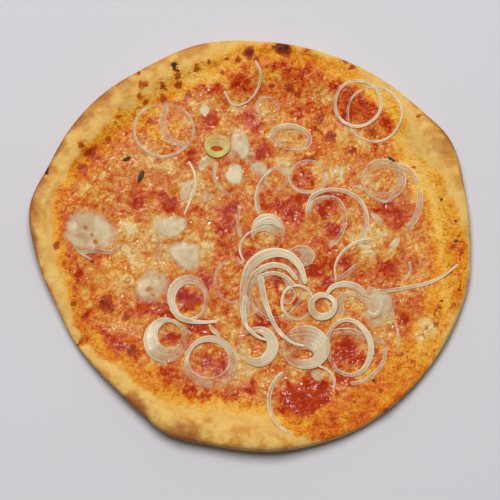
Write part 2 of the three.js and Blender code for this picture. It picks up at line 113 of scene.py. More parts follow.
# Cubic from a first to a second value over a span, with the slopes at which it leaves and arrives
def cubic(share, span, first, second, leave, arrive):
    square = share * share
    cube = square * share
    return ((2 * cube - 3 * square + 1) * first + (cube - 2 * square + share) * span * leave
            + (3 * square - 2 * cube) * second + (cube - square) * span * arrive)


# One size round the pizza: a cubic through the two stations beside the angle, whose slopes come
# from the stations next to them
def aroundRim(table, key, degrees):
    at = np.array([row[0] for row in table["rows"]], float)
    values = np.array([row[table["keys"].index(key)] for row in table["rows"]], float)
    count = len(at)
    degrees = np.mod(degrees, 360)
    after = np.searchsorted(at, degrees, side="right") % count
    a, b, c, d = [(after + step) % count for step in (-2, -1, 0, 1)]
    span = np.mod(at[c] - at[b], 360)
    share = np.mod(degrees - at[b], 360) / span
    leave = (values[c] - values[a]) / np.mod(at[c] - at[a], 360)
    arrive = (values[d] - values[b]) / np.mod(at[d] - at[b], 360)
    return cubic(share, span, values[b], values[c], leave, arrive)


# Points along and aside of a direction in degrees, starting at a place
def turned(x, y, along, aside, degrees):
    c, s = math.cos(math.radians(degrees)), math.sin(math.radians(degrees))
    return x + along * c - aside * s, y + along * s + aside * c


# Quads between neighbouring rows and columns of a grid of points
def gridFaces(rows, columns, closeRows=False, closeColumns=False, start=0):
    index = np.arange(rows * columns).reshape(rows, columns) + start
    if closeRows:
        index = np.vstack([index, index[:1]])
    if closeColumns:
        index = np.hstack([index, index[:, :1]])
    return np.stack([index[:-1, :-1], index[1:, :-1], index[1:, 1:], index[:-1, 1:]], -1).reshape(-1, 4)


# Triangles from one point to each side of a closed loop of points
def fanFaces(loop, point):
    following = np.roll(loop, -1)
    return np.stack([loop, following, np.full_like(loop, point)], -1)


# Faces of a closed form whose rows run round it, with a middle point at either end of its columns
def turnedFaces(rows, columns, start=0):
    index = np.arange(rows * columns).reshape(rows, columns) + start
    end = start + rows * columns
    return [gridFaces(rows, columns, closeRows=True, start=start),
            fanFaces(index[::-1, 0], end), fanFaces(index[:, -1], end + 1)]


# Six times the volume inside: the sum of the triple products of each face's triangles
def insideVolume(points, faceSets):
    total = 0.0
    for faces in faceSets:
        for k in range(1, faces.shape[1] - 1):
            a, b, c = points[faces[:, 0]], points[faces[:, k]], points[faces[:, k + 1]]
            total += np.einsum("ij,ij->", a, np.cross(b, c))
    return total


# Puts points and faces into a smooth mesh whose faces point outwards
def makePiece(name, points, faceSets, fields, material):
    points = points.reshape(-1, 3)
    if insideVolume(points - points.mean(0), faceSets) < 0:
        faceSets = [faces[:, ::-1] for faces in faceSets]
    loops = np.concatenate([faces.ravel() for faces in faceSets]).astype(np.int32)
    sizes = np.concatenate([np.full(len(faces), faces.shape[1]) for faces in faceSets])
    starts = np.concatenate([[0], np.cumsum(sizes)[:-1]]).astype(np.int32)
    mesh = bpy.data.meshes.new(name)
    mesh.vertices.add(len(points))
    mesh.vertices.foreach_set("co", (points * mm).astype(np.float32).ravel())
    mesh.loops.add(len(loops))
    mesh.loops.foreach_set("vertex_index", loops)
    mesh.polygons.add(len(starts))
    mesh.polygons.foreach_set("loop_start", starts)
    mesh.update(calc_edges=True)
    mesh.validate()
    mesh.shade_smooth()
    for key, values in fields.items():
        field = mesh.attributes.new(key, "FLOAT", "POINT")
        field.data.foreach_set("value", np.asarray(values, np.float32).ravel())
    mesh.materials.append(material)
    piece = bpy.data.objects.new(name, mesh)
    bpy.context.scene.collection.objects.link(piece)
    return piece


# Linear colour of a screen colour: the screen's curve taken off each channel
def linear(red, green, blue):
    def channel(value):
        value = value / 255
        return value / 12.92 if value <= 0.04045 else ((value + 0.055) / 1.055) ** 2.4
    return (channel(red), channel(green), channel(blue), 1.0)


# Value, colour or vector that leaves a node. Sums, differences and products are written as of numbers
class Wire:
    def __init__(self, socket):
        self.socket = socket
        self.tree = socket.id_data

    def __add__(self, other):
        return calc("ADD", self, other)

    def __radd__(self, other):
        return calc("ADD", other, self)

    def __sub__(self, other):
        return calc("SUBTRACT", self, other)

    def __rsub__(self, other):
        return calc("SUBTRACT", other, self)

    def __mul__(self, other):
        return calc("MULTIPLY", self, other)

    # Holds what the last step gives between 0 and 1
    def clamped(self):
        self.socket.node.use_clamp = True
        return self


# Sets or links the inputs of a node that are named or numbered
def setInputs(node, values):
    for key, value in values.items():
        if isinstance(value, Wire):
            node.id_data.links.new(value.socket, node.inputs[key])
        else:
            node.inputs[key].default_value = value


# A new node with its settings and its inputs
def addNode(tree, kind, inputs=None, **settings):
    made = tree.nodes.new(kind)
    for key, value in settings.items():
        setattr(made, key, value)
    setInputs(made, inputs or {})
    return made


# All that leaves a node, by name
def wiresOf(node):
    return {socket.name: Wire(socket) for socket in node.outputs}


# One step of arithmetic, on wires and numbers
def calc(operation, *values):
    tree = next(value.tree for value in values if isinstance(value, Wire))
    return Wire(addNode(tree, "ShaderNodeMath", dict(enumerate(values)), operation=operation).outputs[0])


# Blend by a factor of two colours, each of which is a wire or a screen colour
def mixColors(factor, first, second):
    first, second = [color if isinstance(color, Wire) else linear(*color) for color in (first, second)]
    made = addNode(factor.tree, "ShaderNodeMix", {0: factor, 6: first, 7: second}, data_type="RGBA",
                   clamp_factor=True)
    return Wire(made.outputs[2])


# Smooth step between two levels
def easeNode(value, low, high, least=0.0, most=1.0):
    made = addNode(value.tree, "ShaderNodeMapRange", {
        "Value": value, "From Min": low, "From Max": high, "To Min": least, "To Max": most},
        interpolation_type="SMOOTHSTEP")
    return Wire(made.outputs["Result"])


# Noise from 0 to 1, of one size and its finer layers
def noiseNode(vector, scale, detail=3.0, roughness=0.55, distortion=0.0):
    made = addNode(vector.tree, "ShaderNodeTexNoise", {
        "Vector": vector, "Scale": scale, "Detail": detail, "Roughness": roughness, "Distortion": distortion})
    return Wire(made.outputs["Fac"])


# Colours along a share from 0 to 1, and the share at which each stands
def rampNode(share, stops):
    made = addNode(share.tree, "ShaderNodeValToRGB", {"Fac": share})
    made.color_ramp.interpolation = "EASE"
    points = made.color_ramp.elements
    while len(points) < len(stops):
        points.new(0.5)
    for point, (at, color) in zip(points, stops):
        point.position = at
        point.color = linear(*color)
    return Wire(made.outputs["Color"])


# Normals bent by a height
def bumpNode(height, strength, distance):
    made = addNode(height.tree, "ShaderNodeBump", {"Strength": strength, "Distance": distance,
                                                   "Height": height})
    return Wire(made.outputs[0])


# Value that a piece's points carry under a name
def fieldNode(tree, key):
    return Wire(addNode(tree, "ShaderNodeAttribute", attribute_name=key).outputs["Fac"])


# An empty group, the wires that come into it, and the node that takes what it gives
def newGroup(name, inputs, outputs):
    group = bpy.data.node_groups.new(name, "ShaderNodeTree")
    for key, kind, value in inputs:
        socket = group.interface.new_socket(name=key, in_out="INPUT", socket_type=kind)
        if value is not None:
            socket.default_value = value
    for key, kind in outputs:
        group.interface.new_socket(name=key, in_out="OUTPUT", socket_type=kind)
    return group, wiresOf(group.nodes.new("NodeGroupInput")), group.nodes.new("NodeGroupOutput")


# All that a group gives when it is put to use
def useGroup(tree, group, inputs):
    return wiresOf(addNode(tree, "ShaderNodeGroup", inputs, node_tree=group))


# A material with one shader, and the place on the object that its noises follow
def newMaterial(name):
    material = bpy.data.materials.new(name)
    material.use_nodes = True
    tree = material.node_tree
    tree.nodes.clear()
    shader = tree.nodes.new("ShaderNodeBsdfPrincipled")
    output = tree.nodes.new("ShaderNodeOutputMaterial")
    tree.links.new(shader.outputs[0], output.inputs[0])
    place = Wire(tree.nodes.new("ShaderNodeTexCoord").outputs["Object"])
    return material, tree, shader, place


floatSocket = "NodeSocketFloat"
colorSocket = "NodeSocketColor"
vectorSocket = "NodeSocketVector"

# Baked speckle, for dough, sauce, cheese and onion alike: fine grain, curly lines along the contours
# of a softer noise, as melted cheese draws them and as painted glints on the wet topping, small round
# beads, loose flecks and broad patches
speckleGroup, given, put = newGroup(
    "bakedSpeckle", [("Vector", vectorSocket, None), ("Scale", floatSocket, 1.0)],
    [("Grain", floatSocket), ("Curls", floatSocket), ("Beads", floatSocket), ("Flecks", floatSocket),
     ("Patches", floatSocket)])


# One noise of the speckle, whose scale follows the group's own
def speckleNoise(scale, detail, roughness, distortion):
    return noiseNode(given["Vector"], given["Scale"] * scale, detail, roughness, distortion)


wave = calc("ABSOLUTE", calc("SINE", speckleNoise(230.0, 2.0, 0.5, 1.3) * 44.0))
setInputs(put, {"Grain": speckleNoise(620.0, 4.0, 0.62, 0.7), "Curls": calc("POWER", wave, 4.0),
                "Beads": speckleNoise(330.0, 0.6, 0.5, 0.8),
                "Flecks": easeNode(speckleNoise(270.0, 1.5, 0.5, 0.6), 0.58, 0.63),
                "Patches": speckleNoise(130.0, 3.0, 0.6, 0.8)})

# The baked surface, for dough and topping alike. Ripe runs from pale cheese to deep red sauce, Oil
# turns that into the yellow, orange and red-brown of oily dough, and Plain is bare dough. Fleck strews
# dark red crumbs over it, and Toast, Brown and Char darken it. Toast below 0 pales bare dough, which
# along the inner edge of the bare rim is a painted highlight on a slope in shade, and the pale curly
# lines are partly melted cheese and partly painted glints. The last row has the levels between
# which bare dough, browning, its darker middle and charring set in
baked = dict(
    cheese=[(0.0, (226, 204, 156)), (0.18, (220, 176, 94)), (0.36, (214, 140, 44)), (0.54, (206, 100, 16)),
            (0.76, (194, 64, 4)), (1.0, (164, 40, 2))],
    oily=[(0.0, (240, 190, 92)), (0.25, (232, 162, 38)), (0.5, (218, 116, 8)), (0.75, (194, 66, 2)),
          (1.0, (156, 38, 2))],
    # line colours the pale curly lines: partly melted cheese strings, partly painted glints of the wet
    # topping
    veil=(222, 160, 120), line=(236, 220, 184), fleck=(172, 56, 12), browned=(164, 54, 12),
    brown=(116, 36, 12), char=(44, 28, 20), tan=(210, 146, 62), pale=(234, 190, 104),
    toasted=(172, 100, 42), grain=1.1, plainGrain=0.5, curl=0.14, veiled=0.08, crumb=0.95, browning=0.9,
    bareFrom=(0.2, 0.8), brownFrom=(0.27, 0.6), darkFrom=(0.7, 1.25), charFrom=(0.42, 0.85))
bakedFields = ("ripe", "oil", "veil", "plain", "toast", "fleck", "brown", "char")
bakedGroup, given, put = newGroup(
    "bakedSurface",
    [("Vector", vectorSocket, None)] + [(key.capitalize(), floatSocket, 0.0) for key in bakedFields],
    [("Color", colorSocket), ("Height", floatSocket), ("Shine", floatSocket)])
speckle = useGroup(bakedGroup, speckleGroup, {"Vector": given["Vector"], "Scale": 1.0})
grainy = speckle["Grain"] - 0.5
ripe = given["Ripe"] + grainy * baked["grain"] - speckle["Curls"] * baked["curl"]
pallor = easeNode(ripe, 0.45, 0.85, 1.0, 0.0)
cheesy = mixColors(given["Veil"] * pallor * baked["veiled"], rampNode(ripe, baked["cheese"]), baked["veil"])
filled = mixColors(given["Oil"], cheesy, rampNode(ripe, baked["oily"]))
# Pale curly lines, fewest where the topping is oily or deep red: partly melted cheese strings and partly
# painted glints of the wet surface
lines = easeNode(speckle["Curls"], 0.8, 1.0) * (0.25 - given["Oil"] * 0.23) * pallor
filled = mixColors(lines, filled, baked["line"])
cloud = noiseNode(given["Vector"], 95.0, 4.0, 0.6)
bare = mixColors(easeNode(cloud, 0.38, 0.64), baked["tan"], baked["pale"])
toasting = given["Toast"] + grainy * baked["plainGrain"]
bare = mixColors(easeNode(toasting, 0.05, 1.0), bare, baked["toasted"])
# Below 0, toast pales bare dough: near the inner edge of the bare rim this is a painted highlight on a slope
# in shade
bare = mixColors(easeNode(toasting, 0.0, -1.0), bare, baked["pale"])
color = mixColors(easeNode(given["Plain"] + grainy * 0.8, *baked["bareFrom"]), filled, bare)
crumbs = (speckle["Flecks"] * given["Fleck"]).clamped()
color = mixColors(crumbs * baked["crumb"], color, baked["fleck"])
browned = given["Brown"] + grainy * 0.85
browning = easeNode(browned, *baked["brownFrom"]) * baked["browning"]
color = mixColors(browning, color, baked["browned"])
color = mixColors(easeNode(browned, *baked["darkFrom"]), color, baked["brown"])
color = mixColors(easeNode(given["Char"] + grainy, *baked["charFrom"]), color, baked["char"])
wet = (1.0 - given["Plain"]).clamped()
puddles = easeNode(speckle["Patches"], 0.42, 0.52, 0.4, 1.0) + easeNode(given["Ripe"], 0.7, 0.95, 0.0, 0.6)
gloss = wet * easeNode(given["Ripe"], 0.25, 0.8, 0.75, 1.3) * puddles.clamped() * (1.0 - given["Oil"] * 0.7)
rise = speckle["Beads"] * (0.3 + wet * 0.7) + speckle["Patches"] * 0.8
grit = speckle["Grain"] * (0.3 - wet * 0.25)
setInputs(put, {"Color": color, "Height": rise + grit, "Shine": gloss})

# Angle from +X in degrees, distance of the outer edge from the middle, width of the bare rim, and
# height of its crest
rimShape = dict(
    keys=["at", "out", "rim", "crest"],
    rows=[
        (0, 158.4, 29, 10.6), (14, 159.5, 31, 11.2), (28, 163.5, 38, 11.8), (38, 158.5, 33, 11.2),
        (50, 154.8, 18, 11), (68, 151, 11, 11.5), (86, 149.4, 13, 12.5), (104, 151.6, 27, 12.4),
        (120, 150.6, 33, 12.4), (134, 153.6, 35, 13), (148, 155.5, 31, 13.2), (158, 156.4, 24, 12.8),
        (170, 161, 21, 15), (182, 154.6, 20, 14), (197, 145.9, 14, 12), (208, 144.2, 9, 10),
        (224, 142, 17, 13.5), (236, 144.2, 20, 15), (246, 149.2, 27, 16.3), (260, 147.6, 31, 16.75),
        (278, 150.6, 30, 16), (289, 151.7, 15, 13), (300, 153.6, 8, 10), (320, 155.2, 8, 9.5),
        (338, 157.3, 13, 10), (350, 159, 24, 10.5)])

# Height of the bed, bluntness of the rim, widths of its foot and its shoulder, the widest place of its
# side, lumps in relief as height, size and shift, and how many stations each part of the profile has
dough = dict(
    bed=4.5, blunt=0.5, foot=8, shoulder=11, shoulderShare=0.42, widest=4.6, widestShare=0.5, shrink=0.3,
    puffs=((0.8, 21, 0), (0.55, 11, 50), (0.24, 5.2, 11), (0.12, 2.3, 29)),
    around=840, under=7, footRings=9, sideRings=18, slopeRings=58, bedRings=4)
# Folds across the rim, at an angle from one radius to another, and blisters: place, width and height
creases = [dict(at=160, start=122, end=156, deep=2.4, wide=3.5),
           dict(at=210, start=130, end=148, deep=2, wide=3)]
blisters = [(98.3, -119.4, 6, 2.4), (-104.8, -42.7, 6, 1.6), (-86, -75.6, 5.5, 1.4),
            (-119.2, 70.4, 8, 1.2), (45, 90.5, 6, 1), (58.7, 79.2, 6, 1)]

# The layer of sauce and cheese: gap above the bed, thickness at the edge and in the middle, swell as a
# share of the crest of a narrow rim, width of its bank, then how far the film climbs up the rim, its
# thickness, how deep and over what width it dips at its end, and how far lumps of a size move the edge
cover = dict(
    gap=0.3, edge=1.3, middle=2.2, squares=300, swell=0.93, mostSwell=8, bank=30, narrow=(38, 14),
    climb=4.4, film=0.1, sunk=0.12, dip=9, blend=1.2, inset=0.9, edgeWaver=(1.3, 9), endWaver=(0.8, 11),
    floor=0.05, relief=((0.55, 24, 0), (0.5, 12, 90), (0.42, 6.1, 40), (0.34, 3.3, 7), (0.2, 1.9, 63)))


# Dome over each blister: height times a bell of the distance
def blisterDome(x, y):
    return sum(high * bell(np.hypot(x - bx, y - by) / wide) for bx, by, wide, high in blisters)


# Grooves across the rim: depth times a bell across and a flat-topped bell along
def creaseDepth(degrees, radius):
    depth = 0.0
    for crease in creases:
        swing = np.mod(degrees - crease["at"] + 180, 360) - 180
        aside = np.radians(swing) * radius / crease["wide"]
        along = (2 * radius - crease["start"] - crease["end"]) / (crease["end"] - crease["start"])
        depth = depth + crease["deep"] * bell(aside) * bell(along * along)
    return depth


# Sum of lumps of several sizes, each with its own height
def relief(x, y, rows):
    return sum(high * lumps(x + shift, y, size) for high, size, shift in rows)


# Outer edge, bare width, crest, shoulder and height of the widest place at an angle
def rimAt(degrees):
    out = aroundRim(rimShape, "out", degrees) - dough["shrink"]
    rim = aroundRim(rimShape, "rim", degrees)
    crest = aroundRim(rimShape, "crest", degrees)
    shoulder = np.minimum(dough["shoulderShare"] * rim, dough["shoulder"])
    widest = np.maximum(dough["widest"], dough["widestShare"] * crest)
    return out, rim, crest, shoulder, widest


# Height of the dough's upper face: a blunt quarter oval outside the crest, half a cosine wave inside it
def doughTop(x, y):
    radius = np.hypot(x, y)
    degrees = np.degrees(np.arctan2(y, x))
    out, rim, crest, shoulder, widest = rimAt(degrees)
    reach = np.clip((radius - out + shoulder) / shoulder, 0, 1) ** (1 / dough["blunt"])
    share = np.clip((out - shoulder - radius) / (rim - shoulder), 0, 1)
    rise = np.sqrt(1 - reach * reach) ** dough["blunt"]
    fall = (1 + np.cos(np.pi * share)) / 2
    outside = radius > out - shoulder
    height = np.where(outside, widest + (crest - widest) * rise, dough["bed"] + (crest - dough["bed"]) * fall)
    weight = np.where(outside, rise, fall)
    puffs = relief(x, y, dough["puffs"]) + blisterDome(x, y) - creaseDepth(degrees, radius)
    return np.where(radius > out, 0, height + weight * puffs)


# Where the topping thins out: the toe of the rim, drawn inwards by lumps
def coverEdge(angle):
    degrees = np.degrees(angle)
    toe = aroundRim(rimShape, "out", degrees) - aroundRim(rimShape, "rim", degrees)
    waver, size = cover["edgeWaver"]
    return toe - cover["inset"] - waver * (1 + lumps(toe * np.cos(angle), toe * np.sin(angle), size))


# How much higher the layer is at its edge, below a narrow rim
def coverSwell(rim, crest):
    level = dough["bed"] + cover["gap"] + cover["edge"]
    rise = np.clip(cover["swell"] * crest - level, 0, cover["mostSwell"])
    return ease(*cover["narrow"], rim) * rise


# Where the film of sauce and oil ends: a little past the place where the dough has risen above it and
# above the swell of the layer
def coverReach(angle):
    out, rim, crest, shoulder, widest = rimAt(np.degrees(angle))
    climb = cover["climb"] + coverSwell(rim, crest)
    share = np.arccos(np.clip(1 - 2 * climb / (crest - dough["bed"]), -1, 1)) / np.pi
    ending = out - rim + share * (rim - shoulder)
    waver, size = cover["endWaver"]
    return ending + waver * (1 + lumps(ending * np.cos(angle), ending * np.sin(angle), size))


# Level of the layer itself, without the dough below it: it thins out outwards and swells towards a
# narrow rim
def coverLevel(x, y):
    radius = np.hypot(x, y)
    angle = np.arctan2(y, x)
    edge = coverEdge(angle)
    out, rim, crest, shoulder, widest = rimAt(np.degrees(angle))
    share = np.clip(radius / edge, 0, 1)
    inward = 1 - share ** 6
    uneven = relief(x, y, cover["relief"]) + blisterDome(x, y)
    own = dough["bed"] + cover["gap"] + cover["edge"] + inward * (cover["middle"] - cover["edge"] + uneven)
    return own + coverSwell(rim, crest) * ease(edge - cover["bank"], edge + 1, radius)


# Smooth form of a difference that is cut off at 0: the logarithm of 1 plus its exponential
def softRise(difference):
    return np.log1p(np.exp(cover["blend"] * difference)) / cover["blend"]


# Height of the topping: the higher one of its own level and a film on the dough, blended. The film dips
# into the dough at its end, where what the blend leaves above it has been taken away
def coverTop(x, y):
    angle = np.arctan2(y, x)
    reach = coverReach(angle)
    ending = ease(reach - cover["dip"], reach, np.hypot(x, y))
    film = doughTop(x, y) + mix(cover["film"], -cover["sunk"], ending)
    endX = reach * np.cos(angle)
    endY = reach * np.sin(angle)
    left = softRise(coverLevel(endX, endY) - doughTop(endX, endY) + cover["sunk"])
    return film + softRise(coverLevel(x, y) - film) - ending * left


# Width of plain dough and of the oily band from the outer edge, how ripe that band is, share of dark
# flecks in it, toasting, and strength of the smooth yellow stripe low on its inner slope, partly oil and
# partly a painted highlight
rimLooks = dict(
    keys=["at", "tan", "oil", "ripe", "fleck", "toast", "stripe"],
    rows=[
        (0, 3, 29, 0.42, 0.9, 0.5, 1), (14, 12, 32, 0.3, 0.7, 0.3, 0.9), (22, 16, 38, 0.2, 0.3, 0.4, 0.5),
        (30, 28, 40, 0.22, 0.1, 0.8, 0.2), (38, 15, 29, 0.22, 0.1, 0.4, 0.2),
        (46, 8, 20, 0.2, 0.1, 0.3, 0.3), (57, 5, 20, 0.32, 0.3, 0.6, 0.3), (68, 4, 16, 0.4, 0.5, 0.8, 0.1),
        (80, 4, 17, 0.36, 0.5, 0.7, 0), (92, 6, 19, 0.26, 0.5, 0.4, 0), (104, 13, 28, 0.13, 0.6, 0.3, 0),
        (120, 18, 30, 0.15, 0.6, 0.3, 0), (134, 20, 32, 0.24, 0.7, 0.5, 0),
        (148, 18, 30, 0.34, 0.9, 0.5, 0), (158, 14, 24, 0.46, 0.8, 0.6, 0.2),
        (168, 17, 24, 0.42, 0.5, 0.7, 0.6), (184, 14, 22, 0.42, 0.5, 0.7, 0.7),
        (197, 10, 18, 0.42, 0.5, 0.2, 0.5), (208, 7, 18, 0.5, 0.4, 0.1, 0.4),
        (224, 12, 24, 0.44, 0.3, 0.2, 0.5), (236, 16, 29, 0.42, 0.3, 0.4, 0.6),
        (250, 23, 33, 0.3, 0.1, 0.5, 0.8), (262, 25, 36, 0.26, 0.2, 0.3, 0.8),
        (276, 22, 32, 0.3, 0.3, 0.1, 0.5), (286, 5, 24, 0.5, 0.9, 0.1, 0.1), (296, 0, 24, 0.58, 1, 0.1, 0),
        (310, 0, 26, 0.58, 1, 0.2, 0), (325, 0, 28, 0.4, 1, 0.2, 0), (338, 4, 26, 0.4, 0.9, 0.5, 0.3),
        (350, 2, 27, 0.42, 1, 0.5, 0.8)])

# The yellow stripe, partly oil and partly a painted highlight: millimetres inwards of the rim's toe, half
# width, and loss of ripeness
stripe = dict(inside=7.0, wide=4.2, pale=0.26)

# Sizes of the coarse, middling and fine lumps of the mottling, their shares in the topping's ripeness
# and in the rim's, the topping's own ripeness, and what a red, a cream and a yellow patch add to it
mottle = dict(sizes=(9.5, 4.6, 2.2), topping=(0.11, 0.19, 0.2), rim=(0.1, 0.14, 0.08), ripe=0.545,
              red=0.36, cream=-0.3, yellow=-0.22)

